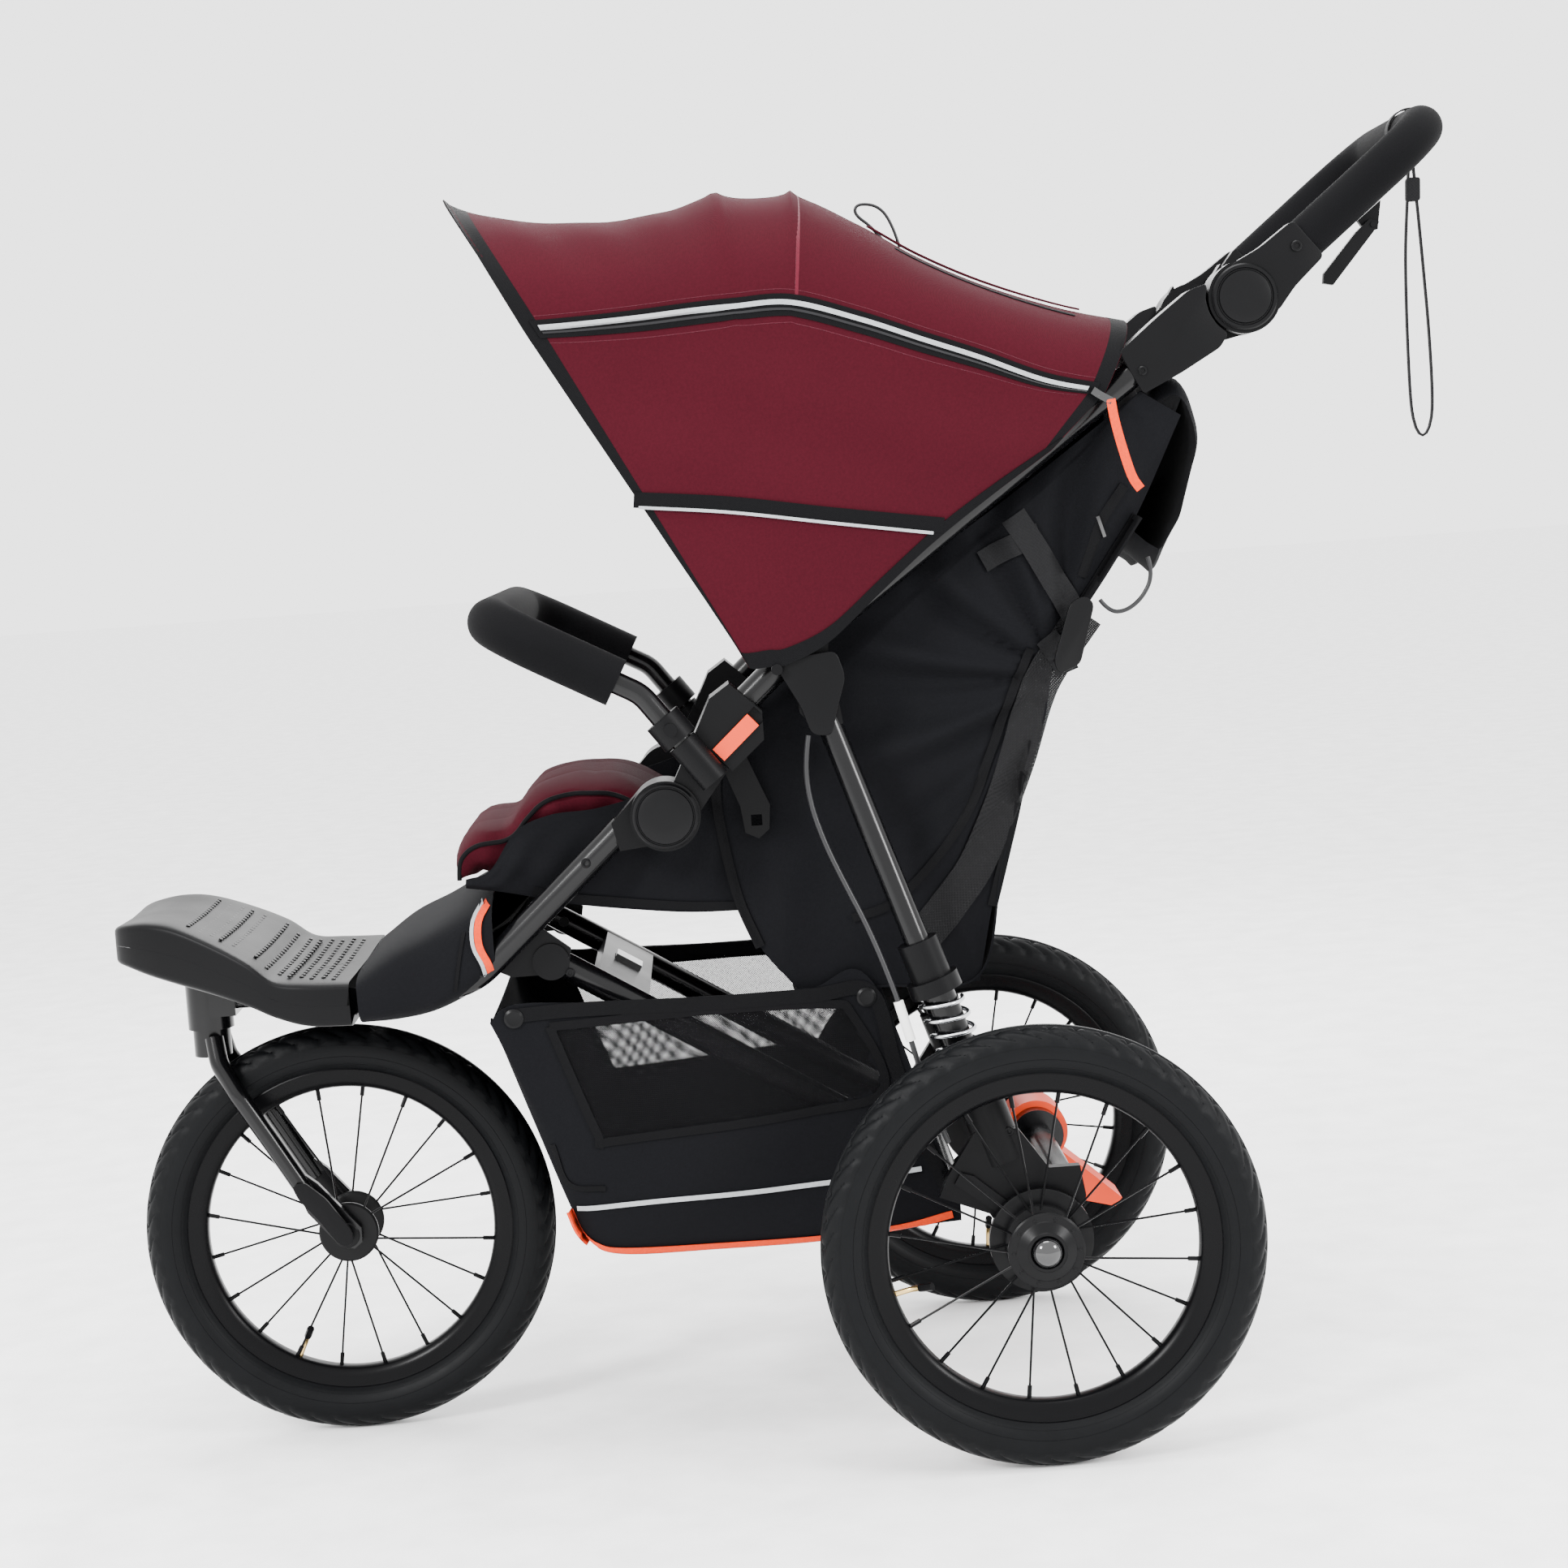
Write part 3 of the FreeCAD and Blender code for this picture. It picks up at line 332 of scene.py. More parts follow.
class Look(Enum):
    """Every finish on the stroller."""

    PAINT = Moulded("satin_black_paint", (0.0018, 0.0018, 0.0021), 0.2, grain=1500.0, depth=0.00004,
                    shine=0.22)
    PLASTIC = Moulded("black_moulding", (0.0021, 0.0021, 0.0024), 0.4, shine=0.08)
    CAP = Moulded("fine_black_cap", (0.0024, 0.0024, 0.0027), 0.32, grain=1400.0, depth=0.00005, shine=0.1)
    GLOSS = Moulded("gloss_black_button", (0.005, 0.005, 0.0055), 0.08, grain=300.0, depth=0.00002, coat=0.5,
                    shine=0.5)
    RIM = Moulded("black_rim", (0.0016, 0.0016, 0.0019), 0.28, grain=1500.0, depth=0.00004, shine=0.07)
    STEEL = Moulded("bright_steel", (0.6, 0.61, 0.63), 0.2, grain=1500.0, depth=0.00003, metallic=1.0,
                    shine=0.5)
    BRASS = Moulded("brass_valve", (0.72, 0.5, 0.2), 0.3, grain=900.0, depth=0.00003, metallic=1.0)
    ORANGE = Moulded("orange_moulding", (0.56, 0.036, 0.005), 0.42, depth=0.00008)
    WHITE = Moulded("white_moulding", (0.78, 0.78, 0.76), 0.4)
    TYRE = TyreRubber("tyre_rubber", (0.0025, 0.0027, 0.0031), 0.46)
    FOAM = Foam("black_foam", (0.0022, 0.0022, 0.0026), 0.9)
    BURGUNDY = Woven("burgundy_cloth", (0.032, 0.0024, 0.0058), 0.82, sheen=0.008)
    BURGUNDY_DARK = Woven("burgundy_seam", (0.075, 0.008, 0.016), 0.85, crease=0.0)
    STITCH = Woven("sewing_thread", (0.05, 0.007, 0.013), 0.7, thread=0.004, crease=0.0)
    ZIP = Moulded("zip_teeth", (0.006, 0.006, 0.007), 0.35, grain=500.0, depth=0.0004)
    BLACK_CLOTH = Woven("black_cloth", (0.0032, 0.0033, 0.0041), 0.8, sheen=0.008, crease=0.0026)
    TAPE = Woven("black_tape", (0.0028, 0.0028, 0.0032), 0.75, thread=0.0022, sheen=0.005, crease=0.0)
    WEBBING = Woven("black_webbing", (0.0075, 0.0075, 0.008), 0.65, thread=0.003, sheen=0.01, crease=0.0)
    PIPING = Woven("orange_piping", (0.56, 0.036, 0.006), 0.6, thread=0.0016, sheen=0.02, crease=0.0)
    SILVER = Woven("reflective_tape", (0.3, 0.31, 0.32), 0.4, thread=0.0008, sheen=0.0, crease=0.0)
    NET = Netting("basket_netting", (0.004, 0.004, 0.0045), 0.8, opening=0.28)
    AIR_MESH = Netting("air_mesh", (0.009, 0.009, 0.0095), 0.7, pitch=0.0034, opening=0.75)
    CABLE = Moulded("cable_housing", (0.012, 0.012, 0.013), 0.35, grain=700.0)
    FLOOR = Moulded("matt_white_floor", (0.93, 0.93, 0.93), 0.85, grain=300.0, depth=0.00002)


# ---- Shaping --------------------------------------------------------------------------------------

def solid_from(name: str, shape: bmesh.types.BMesh, look: Look, sharp: float = CRISP) -> bpy.types.Object:
    """Turn a bmesh into a finished piece.

    Args:
        name: the piece's name.
        shape: its bmesh, in the row frame; it is freed.
        look: its finish.
        sharp: edges that turn more than this many degrees stay crisp.

    Returns:
        The new object, at the origin.
    """
    bmesh.ops.remove_doubles(shape, verts=shape.verts, dist=1e-6)
    bmesh.ops.recalc_face_normals(shape, faces=shape.faces)
    for edge in shape.edges:
        edge.smooth = edge.calc_face_angle(0.0) < math.radians(sharp)
    for face in shape.faces:
        face.smooth = True
    mesh = bpy.data.meshes.new(name)
    shape.to_mesh(mesh)
    shape.free()
    piece = bpy.data.objects.new(name, mesh)
    bpy.context.scene.collection.objects.link(piece)
    mesh.materials.append(look.value.material())
    return piece


def curve_piece(name: str, routes: Sequence[Sequence[Vector]], radius: float,
                look: Look) -> bpy.types.Object:
    """One or more smooth round cords or piped edges, with a radius in millimetres."""
    curve = bpy.data.curves.new(name, "CURVE")
    curve.dimensions = "3D"
    curve.bevel_depth = radius * MM
    curve.bevel_resolution = 3
    curve.use_fill_caps = True
    curve.resolution_u = 6
    for route in routes:
        spline = curve.splines.new("NURBS")
        spline.points.add(len(route) - 1)
        for point, place in zip(spline.points, route):
            point.co = (*place, 1.0)
        spline.order_u = 3
        spline.use_endpoint_u = True
    piece = bpy.data.objects.new(name, curve)
    bpy.context.scene.collection.objects.link(piece)
    curve.materials.append(look.value.material())
    return piece


def meshed(curve: bpy.types.Object) -> bpy.types.Object:
    """The same piece as a mesh."""
    name, mesh = curve.name, bpy.data.meshes.new_from_object(curve)
    bpy.data.objects.remove(curve)
    piece = bpy.data.objects.new(name, mesh)
    bpy.context.scene.collection.objects.link(piece)
    for face in mesh.polygons:
        face.use_smooth = True
    return piece


def settle(piece: bpy.types.Object, body: str, slot: str, *nodes: str) -> bpy.types.Object:
    """Ride on a body and stand for CAD nodes."""
    if nodes:
        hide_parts(*nodes)
    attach(piece, body)
    return piece


def fit(name: str, shape: bmesh.types.BMesh, look: Look, body: str, slot: str, *nodes: str,
        sharp: float = CRISP) -> bpy.types.Object:
    """Finish a shape as a piece and settle it on a body, in place of CAD nodes."""
    return settle(solid_from(name, shape, look, sharp), body, slot, *nodes)


def join_shapes(target: bmesh.types.BMesh, *others: bmesh.types.BMesh) -> bmesh.types.BMesh:
    """Add other shapes to a shape and free them."""
    for other in others:
        carrier = bpy.data.meshes.new("carrier")
        other.to_mesh(carrier)
        other.free()
        target.from_mesh(carrier)
        bpy.data.meshes.remove(carrier)
    return target


def welded(shape: bmesh.types.BMesh) -> bmesh.types.BMesh:
    """Merge points that meet, as at the seam of a sheet rolled into a tube."""
    bmesh.ops.remove_doubles(shape, verts=shape.verts, dist=WELD)
    return shape


def capped(shape: bmesh.types.BMesh) -> bmesh.types.BMesh:
    """Weld a rolled sheet and close its two ends."""
    welded(shape)
    bmesh.ops.holes_fill(shape, edges=[edge for edge in shape.edges if edge.is_boundary], sides=0)
    return shape


def raised(shape: bmesh.types.BMesh, height: float) -> bmesh.types.BMesh:
    """Give a flat shape a height sideways, in millimetres."""
    top = bmesh.ops.extrude_face_region(shape, geom=list(shape.faces))["geom"]
    verts = [item for item in top if isinstance(item, bmesh.types.BMVert)]
    bmesh.ops.translate(shape, vec=(height * MM, 0, 0), verts=verts)
    return shape


def both(shape: bmesh.types.BMesh) -> bmesh.types.BMesh:
    """The shape and its mirror across the middle of the stroller."""
    twin = shape.copy()
    bmesh.ops.scale(twin, vec=(-1, 1, 1), verts=twin.verts)
    bmesh.ops.reverse_faces(twin, faces=twin.faces)
    return join_shapes(shape, twin)


def turned(profile: Sequence[Point2], centre: Point2, steps: int = 64,
           x_shift: float = 0.0) -> bmesh.types.BMesh:
    """Spin a profile of (x, radius) points about a side-to-side axis.

    Args:
        profile: the points, in millimetres.
        centre: the axis's (y, z).
        steps: how many steps make the full turn.
        x_shift: added to every x.

    Returns:
        The closed shape, if the profile meets the axis or closes on itself.
    """
    shape = bmesh.new()
    corners = [shape.verts.new(at(x + x_shift, centre[0], centre[1] + r)) for x, r in profile]
    edges = [shape.edges.new(pair) for pair in zip(corners, corners[1:])]
    bmesh.ops.spin(shape, geom=corners + edges, cent=at(0, *centre), axis=(1, 0, 0),
                   angle=2 * math.pi, steps=steps, use_merge=True, use_duplicate=False)
    bmesh.ops.remove_doubles(shape, verts=shape.verts, dist=2e-6)
    return shape


def plate(outline: Sequence[Point2], x_low: float, x_high: float, edge: float = 1.2,
          segments: int = 3) -> bmesh.types.BMesh:
    """A plate with rounded edges, drawn in the side view, between two x values in millimetres."""
    shape = bmesh.new()
    shape.faces.new([shape.verts.new(at(x_low, y, z)) for y, z in outline])
    raised(shape, x_high - x_low)
    bmesh.ops.recalc_face_normals(shape, faces=shape.faces)
    if edge > 0:
        bmesh.ops.bevel(shape, geom=list(shape.edges), offset=edge * MM, segments=segments, profile=0.5,
                        affect="EDGES", material=-1, clamp_overlap=True)
    return shape


def rounded(outline: Sequence[Point2], radius: float, steps: int = 4) -> list[Point2]:
    """The outline with each corner turned into a short curve of about a radius."""
    points: list[Point2] = []
    count = len(outline)
    for index, corner in enumerate(outline):
        here = Vector(corner)
        back = Vector(outline[index - 1]) - here
        ahead = Vector(outline[(index + 1) % count]) - here
        first = here + back.normalized() * min(radius, back.length * 0.45)
        last = here + ahead.normalized() * min(radius, ahead.length * 0.45)
        for step in range(steps + 1):
            share = step / steps
            bend = first * (1 - share) ** 2 + here * 2 * share * (1 - share) + last * share ** 2
            points.append((bend.x, bend.y))
    return points


def grid_sheet(rows: int, columns: int, place: Callable[[float, float], Vector]) -> bmesh.types.BMesh:
    """A grid whose points are moved to where a function of (across, along) puts them."""
    shape = bmesh.new()
    bmesh.ops.create_grid(shape, x_segments=columns, y_segments=rows, size=0.5)
    for vert in shape.verts:
        vert.co = place(vert.co.x + 0.5, vert.co.y + 0.5)
    return shape


def thicken(shape: bmesh.types.BMesh, wall: float) -> bmesh.types.BMesh:
    """Give a sheet a wall, in millimetres, towards its back."""
    bmesh.ops.recalc_face_normals(shape, faces=shape.faces)
    bmesh.ops.solidify(shape, geom=list(shape.faces), thickness=wall * MM)
    return shape


def passing(points: Sequence[float] | Sequence[Vector], index: int, t: float) -> float | Vector:
    """The value at a share t of the span after an index, on a smooth curve through all the values."""
    p1, p2 = points[index], points[index + 1]
    p0 = points[index - 1] if index else p1 * 2 - p2
    p3 = points[index + 2] if index + 2 < len(points) else p2 * 2 - p1
    return 0.5 * ((2 * p1) + (p2 - p0) * t + (2 * p0 - 5 * p1 + 4 * p2 - p3) * t ** 2
                  + (3 * p1 - p0 - 3 * p2 + p3) * t ** 3)


def smooth_path(points: Sequence[Point3 | Point2], share: float) -> Vector:
    """The point at a share of the way along a Catmull-Rom curve through the points."""
    vectors = [Vector(p) for p in points]
    lengths = [(b - a).length for a, b in zip(vectors, vectors[1:])]
    left = share * sum(lengths)
    index = 0
    while index < len(lengths) - 1 and left > lengths[index]:
        left -= lengths[index]
        index += 1
    return passing(vectors, index, min(left / lengths[index], 1.0))


def value_at(stops: Sequence[Point2], where: float) -> float:
    """A smooth value between (place, value) stops in rising order."""
    if where <= stops[0][0]:
        return stops[0][1]
    for (x0, y0), (x1, y1) in zip(stops, stops[1:]):
        if where <= x1:
            share = (where - x0) / (x1 - x0)
            share = share * share * (3 - 2 * share)
            return y0 + (y1 - y0) * share
    return stops[-1][1]


def ribbon(name: str, route: Sequence[Vector], wide: float, thick: float, look: Look) -> bpy.types.Object:
    """A flat strap along a route in the side view, its width from side to side.

    Args:
        name: the piece's name.
        route: the points of its middle, in metres.
        wide: its width in millimetres.
        thick: its thickness in millimetres.
        look: its finish.

    Returns:
        The finished piece.
    """
    count = len(route) - 1

    def place(u: float, v: float) -> Vector:
        """A point across and along the strap."""
        spot = min(int(v * count), count - 1)
        middle = route[spot].lerp(route[spot + 1], v * count - spot)
        return middle + Vector(((u - 0.5) * wide * MM, 0, 0))

    return solid_from(name, thicken(grid_sheet(count * 3, 4, place), thick), look)


# ---- Wheels ---------------------------------------------------------------------------------------

@dataclass
class Wheel:
    """A spoked wheel with an air tyre."""

    name: str
    body: str
    x: float
    axle: Point2
    nodes: tuple[str, str, str]
    tyre_radius: float = 199.5
    section: float = 22.5
    rim_edge: float = 158.0
    rim_floor: float = 139.0
    spokes: int = 20
    blocks: int = 52
    hub_flange: float = 30.0
    flange_x: tuple[float, float] = (-15.0, 19.5)
    valve_turn: float = -2.0
    wall_start: float = -52.0
    wall_sweep: float = 284.0

    def build(self) -> None:
        """Make every piece of the wheel."""
        self.make_tyre()
        self.make_rim()
        self.make_spokes()
        self.make_valve()

    def tread(self, angle: float, side: float) -> float:
        """How deep the tread is cut at an angle and a side place from -1 to 1, in millimetres."""
        skew = angle * self.blocks / (2 * math.pi) + abs(side) * 0.9 + 0.22 * math.sin(abs(side) * 9)
        groove = 1.0 if ((skew + (0.5 if side > 0 else 0.0)) % 1.0) < 0.24 else 0.0
        shoulder = 1.0 if 0.3 < abs(side) < 1.0 else 0.0
        lines = 1.0 if abs(abs(side) - 0.26) < 0.06 or abs(abs(side) - 0.99) < 0.02 else 0.0
        return 2.3 * max(groove * shoulder, lines)

    def make_tyre(self) -> None:
        """A round section spun about the axle, cut with shoulder blocks and two grooves."""
        crown = self.tyre_radius - self.section
        count = 60
        start, sweep = math.radians(self.wall_start), math.radians(self.wall_sweep)
        profile = []
        for step in range(count + 1):
            turn = start + sweep * step / count
            profile.append((self.section * math.cos(turn), crown + self.section * math.sin(turn)))
        profile += [(-10, self.rim_edge - 3), (10, self.rim_edge - 3), profile[0]]
        shape = turned(profile, self.axle, self.blocks * 6, self.x)
        middle = at(self.x, *self.axle)
        for vert in shape.verts:
            out = vert.co - middle
            radius = math.hypot(out.y, out.z)
            side = (out.x / MM) / (self.section * 0.95)
            if radius > (crown + 6) * MM and abs(side) < 1.02:
                cut = self.tread(math.atan2(out.z, out.y), side) * MM
                vert.co -= Vector((0, out.y, out.z)) / radius * cut
        piece = solid_from(f"{self.name}_tyre_tread", shape, Look.TYRE, sharp=50)
        settle(piece, self.body, "tyre_black", self.nodes[0])
        beads = []
        for side in (-1, 1):
            for height, wide in ((171.5, 21.4), (163.5, 17.4)):
                ring = turned([(side * (wide - 1.2), height - 0.9), (side * (wide + 0.7), height),
                               (side * (wide - 1.2), height + 0.9)], self.axle, 120, self.x)
                beads.append(ring)
        fit(f"{self.name}_sidewall_lines", join_shapes(*beads), Look.TYRE, self.body, "tyre_black")

    def make_rim(self) -> None:
        """A double-wall rim with rolled edges."""
        edge, floor = self.rim_edge, self.rim_floor
        profile = [(-12.4, edge + 1), (-13.2, edge - 1), (-12.2, edge - 4), (-11.6, floor + 8),
                   (-8.5, floor + 2),
                   (-5, floor), (5, floor), (8.5, floor + 2), (11.6, floor + 8), (12.2, edge - 4),
                   (13.2, edge - 1), (12.4, edge + 1), (10.6, edge), (10.2, edge - 8), (-10.2, edge - 8),
                   (-10.6, edge), (-12.4, edge + 1)]
        rim = solid_from(f"{self.name}_rim_ring", turned(profile, self.axle, 120, self.x), Look.RIM, 40)
        settle(rim, self.body, "rim_black", self.nodes[1])

    def make_spokes(self) -> None:
        """Spokes from alternate hub flanges, each with a nipple at the rim."""
        shape = bmesh.new()
        for index in range(self.spokes):
            turn = 2 * math.pi * (index + 0.5) / self.spokes
            lean = 0.16 if index % 4 < 2 else -0.16
            root_x = self.flange_x[index % 2]
            start = self.polar(self.hub_flange - 3, turn + lean, root_x)
            end = self.polar(self.rim_floor + 1, turn, root_x * 0.12)
            self.rod(shape, start, end, 1.05)
            self.rod(shape, end.lerp(start, 0.1), end, 2.1)
        fit(f"{self.name}_spoke_set", shape, Look.RIM, self.body, "rim_black", self.nodes[2])

    def polar(self, radius: float, turn: float, x: float) -> Vector:
        """A point at a radius and an angle about the axle, x millimetres from the wheel's middle."""
        return at(self.x + x, self.axle[0] + radius * math.cos(turn), self.axle[1] + radius * math.sin(turn))

    @staticmethod
    def rod(shape: bmesh.types.BMesh, start: Vector, end: Vector, radius: float) -> None:
        """Add a thin round bar between two points, with a radius in millimetres."""
        run = end - start
        turn = Vector((0, 0, 1)).rotation_difference(run).to_matrix().to_4x4()
        bmesh.ops.create_cone(shape, cap_ends=True, segments=8, radius1=radius * MM, radius2=radius * MM,
                              depth=run.length, matrix=Matrix.Translation((start + end) / 2) @ turn)

    def make_valve(self) -> None:
        """A bent brass valve with a black cap, inside the rim."""
        turn = math.radians(-90 + self.valve_turn)
        bends = ((140, 0), (130, 0), (122, 2), (116, 7))
        route = [self.polar(radius, turn, x) for radius, x in bends]
        stem = curve_piece(f"{self.name}_valve_stem", [route], 2.6, Look.BRASS)
        settle(stem, self.body, "rim_black")
        cap = bmesh.new()
        self.rod(cap, self.polar(117, turn, 6), self.polar(106, turn, 15), 3.6)
        fit(f"{self.name}_valve_cap", cap, Look.PLASTIC, self.body, "moulded_black")


@dataclass
class RearHub:
    """The hub, brake drum and release button of a rear wheel."""

    side: str
    sign: int
    dimples: int = 10
    dimple_ring: float = 29.5

    def build(self) -> None:
        """Make the hub shell with its spoke flange and dimples, then the domed button."""
        letter = self.side[0]
        x = TRACK * self.sign
        shell = [(-27, 6.5), (-27, 46), (-25, 47), (-18.5, 47), (-17.5, 45), (-17.5, 34), (-15, 32),
                 (-12, 22),
                 (-4, 18), (10, 18.5), (16, 24), (17.5, 33), (18.5, 34.5), (20.8, 34.5), (22, 33), (22, 27),
                 (23.5, 25.5), (25.5, 18.5), (26.6, 17.5), (26.6, 15), (25.4, 14), (16, 14), (16, 6.5),
                 (-27, 6.5)]
        parts = [turned([(px * self.sign, r) for px, r in shell], REAR_AXLE, 72, x)]
        for index in range(self.dimples):
            turn = 2 * math.pi * index / self.dimples
            dimple = bmesh.new()
            place = at(x + 21.9 * self.sign, REAR_AXLE[0] + self.dimple_ring * math.cos(turn),
                       REAR_AXLE[1] + self.dimple_ring * math.sin(turn))
            bmesh.ops.create_uvsphere(dimple, u_segments=10, v_segments=6, radius=1.9 * MM,
                                      matrix=Matrix.Translation(place) @ Matrix.Diagonal((0.5, 1, 1, 1)))
            parts.append(dimple)
        fit(f"rear_{self.side}_hub_shell", join_shapes(*parts), Look.CAP, f"wheel_{letter}", "moulded_black",
            f"rear_{self.side}_hub")
        dome = [(20, 0), (20, 13.2), (26.5, 13.4), (29.5, 12.8), (32.5, 10.4), (34.6, 6.4), (35.6, 2.4),
                (35.8, 0)]
        button = turned([(px * self.sign, r) for px, r in dome], REAR_AXLE, 40, x)
        fit(f"rear_{self.side}_hub_dome", button, Look.GLOSS, f"hub_button_{letter}", "gloss_black",
            f"hub_button_{self.side}", sharp=SOFT)


@dataclass
class FrontHub:
    """The front hub and the fork's dropouts and quick-release lever."""

    axle: Point2 = (-648.0, 199.5)

    def build(self) -> None:
        """Make the flanged hub, the dropout castings and the lever."""
        hub = [(-31, 5.5), (-31, 12), (-28, 14), (-27.5, 27), (-26, 29), (-24, 29), (-22, 26), (-20, 17),
               (0, 14),
               (20, 17), (22, 26), (24, 29), (26, 29), (27.5, 27), (28, 14), (31, 12), (31, 5.5), (-31, 5.5)]
        fit("front_hub_shell", turned(hub, self.axle, 56), Look.CAP, "front_wheel", "moulded_black",
            "front_hub")
        ear = rounded([(-692, 240), (-676, 252), (-640, 214), (-632, 198), (-640, 186), (-654, 186)], 9)
        nuts = [turned([(33 * s, 0), (33 * s, 13), (39.5 * s, 13), (41 * s, 11), (41 * s, 0)], self.axle, 32)
                for s in (-1, 1)]
        casting = join_shapes(both(plate(ear, 32.5, 39, 2.0)), *nuts)
        fit("front_dropout_castings", casting, Look.CAP, "front_fork", "moulded_black")
        lever = rounded([(-657, 197), (-650, 192), (-641, 194), (-641, 206), (-664, 240), (-684, 258),
                         (-695, 254), (-690, 241), (-672, 219)], 5)
        shape = plate(lever, 49.2, 54.2, 1.8)
        fit("front_release_lever", shape, Look.PLASTIC, "release", "moulded_black", "front_quick_release")


# ---- Frame ----------------------------------------------------------------------------------------

@dataclass
class FrameDressing:
    """Finishes of the frame's own pieces, with their caps, screws and rings."""

    fold_pivot: Point2 = (-308.5, 602.0)
    handle_pivot: Point2 = (247.0, 1028.0)
    strut_slope: float = 0.3214
    spring_low: float = 335.0
    spring_high: float = 421.0
    coil_turns: float = 6.3
    coil_radius: float = 21.0
    slots: dict[str, Look] = field(default_factory=lambda: {
        "frame_black": Look.PAINT, "moulded_black": Look.PLASTIC, "tyre_black": Look.TYRE,
        "rim_black": Look.RIM,
        "foam_black": Look.FOAM, "spring_steel": Look.STEEL, "orange_plastic": Look.ORANGE,
        "gloss_black": Look.GLOSS, "black_fabric": Look.BLACK_CLOTH, "burgundy_fabric": Look.BURGUNDY,
        "mesh_fabric": Look.AIR_MESH, "cable_black": Look.CABLE, "cable_white": Look.WHITE})

    def build(self) -> None:
        """Finish the carried-over pieces and add the small ones."""
        self.finish_nodes()
        self.make_caps()
        self.make_screws()
        self.make_cable()
        for side, sign in (("left", 1), ("right", -1)):
            self.make_spring(side, sign)
        self.make_shells()

    def make_shells(self) -> None:
        """Moulded shells on the tubes at the handle joints, and flared covers on the leg brackets."""
        lower = rounded([(130, 986), (165, 1014), (196, 1037), (213, 1042), (211, 1028), (213.6, 1016),
                         (220, 1005),
                         (230, 996), (222, 984), (186, 964), (150, 947)], 4)
        fit("handle_lower_shells", both(plate(lower, 132, 167, 5.0)), Look.PLASTIC, "upper_frame",
            "moulded_black")
        outer = rounded([(233, 1056), (263, 1071), (294.5, 1093.6), (321.3, 1060), (293, 1034), (276, 1012)],
                        6)
        inner = rounded([(270, 1064), (294.5, 1093.6), (321.3, 1060), (292, 1036)], 4)
        shells = join_shapes(both(plate(outer, 146, 166, 4.0)), both(plate(inner, 127, 150, 4.0)))
        fit("handle_upper_shells", shells, Look.PLASTIC, "handle", "moulded_black")
        flare = rounded([(-204, 734), (-146, 738), (-139, 714), (-147, 690), (-155, 662), (-173, 664),
                         (-181, 690),
                         (-194, 714)], 7)
        fit("leg_bracket_covers", both(plate(flare, 214.2, 219.5, 2.2)), Look.PLASTIC, "rear_legs",
            "moulded_black")

    def finish_nodes(self) -> None:
        """Give every node of the frame the finish of its slot."""
        for part in frame["record"]["subparts"]:
            item = frame["nodes"][part["node"]]
            look = Look.CAP if part["node"] == "fold_latch_bracket" else self.slots[part["material_slot"]]
            material = look.value.material()
            if not item.material_slots:
                item.data.materials.append(material)
            for spot in item.material_slots:
                spot.material = material

    def make_caps(self) -> None:
        """Ringed covers on the fold joints and the handle joints."""
        ring = [(231.5, 0), (231.5, 29.5), (233.2, 29.5), (234.8, 28), (234.8, 26.6), (233.6, 26),
                (233.6, 25.2),
                (235.2, 24.4), (236.2, 21), (236.6, 12), (236.7, 0)]
        fit("fold_joint_caps", both(turned(ring, self.fold_pivot)), Look.CAP, "upper_frame", "moulded_black")
        ring = [(165, 0), (165, 30), (166.8, 30), (168.4, 28.6), (168.4, 26), (167.2, 25.2), (167.2, 24.2),
                (168.8, 23.4), (169.8, 19), (170.2, 10), (170.3, 0)]
        fit("handle_joint_caps", both(turned(ring, self.handle_pivot)), Look.CAP, "handle", "moulded_black")

    def make_screws(self) -> None:
        """Socket screws in the joints, tubes, carriers and brake arms."""
        places = {"upper_frame": [(160.2, 184, 996, 4.6), (207.0, -178, 746, 4.2), (167.4, 150, 968, 4.2)],
                  "handle": [(166.4, 296, 1070, 5.0)],
                  "front_frame": [(193.6, -384, 561, 4.6), (178.8, -487, 466, 4.2)],
                  "rear_axle": [(247.3, -22, 298, 4.4), (247.3, 18, 222, 4.0)],
                  "chassis": [(151.8, -408, 456, 4.4)]}
        for body, heads in places.items():
            shapes = []
            for x, y, z, r in heads:
                head = [(x, 0), (x, r), (x + 1.3, r), (x + 2.1, r - 0.9), (x + 2.1, r * 0.55),
                        (x + 0.8, r * 0.5),
                        (x + 0.8, 0)]
                shapes.append(both(turned(head, (y, z), 20)))
            piece = solid_from(f"{body}_screws", join_shapes(*shapes), Look.CAP)
            settle(piece, body, "gloss_black")

    def make_cable(self) -> None:
        """The brake cable's housing, along the left leg."""
        route = [(219, -176, 664), (220, -181, 640), (223, -179, 604), (226, -168, 566), (229, -153, 530),
                 (233, -137, 494), (238, -124, 458), (242, -113, 422), (245, -104, 386), (247, -96, 352),
                 (249, -87, 320), (250, -77, 292)]
        cable = curve_piece("brake_cable_housing", [[at(*point) for point in route]], 2.5, Look.CABLE)
        settle(cable, "rear_legs", "cable_black", "brake_cable")

    def strut(self, z: float) -> float:
        """The y of the strut's middle at a height."""
        return -80 + (436 - z) * self.strut_slope

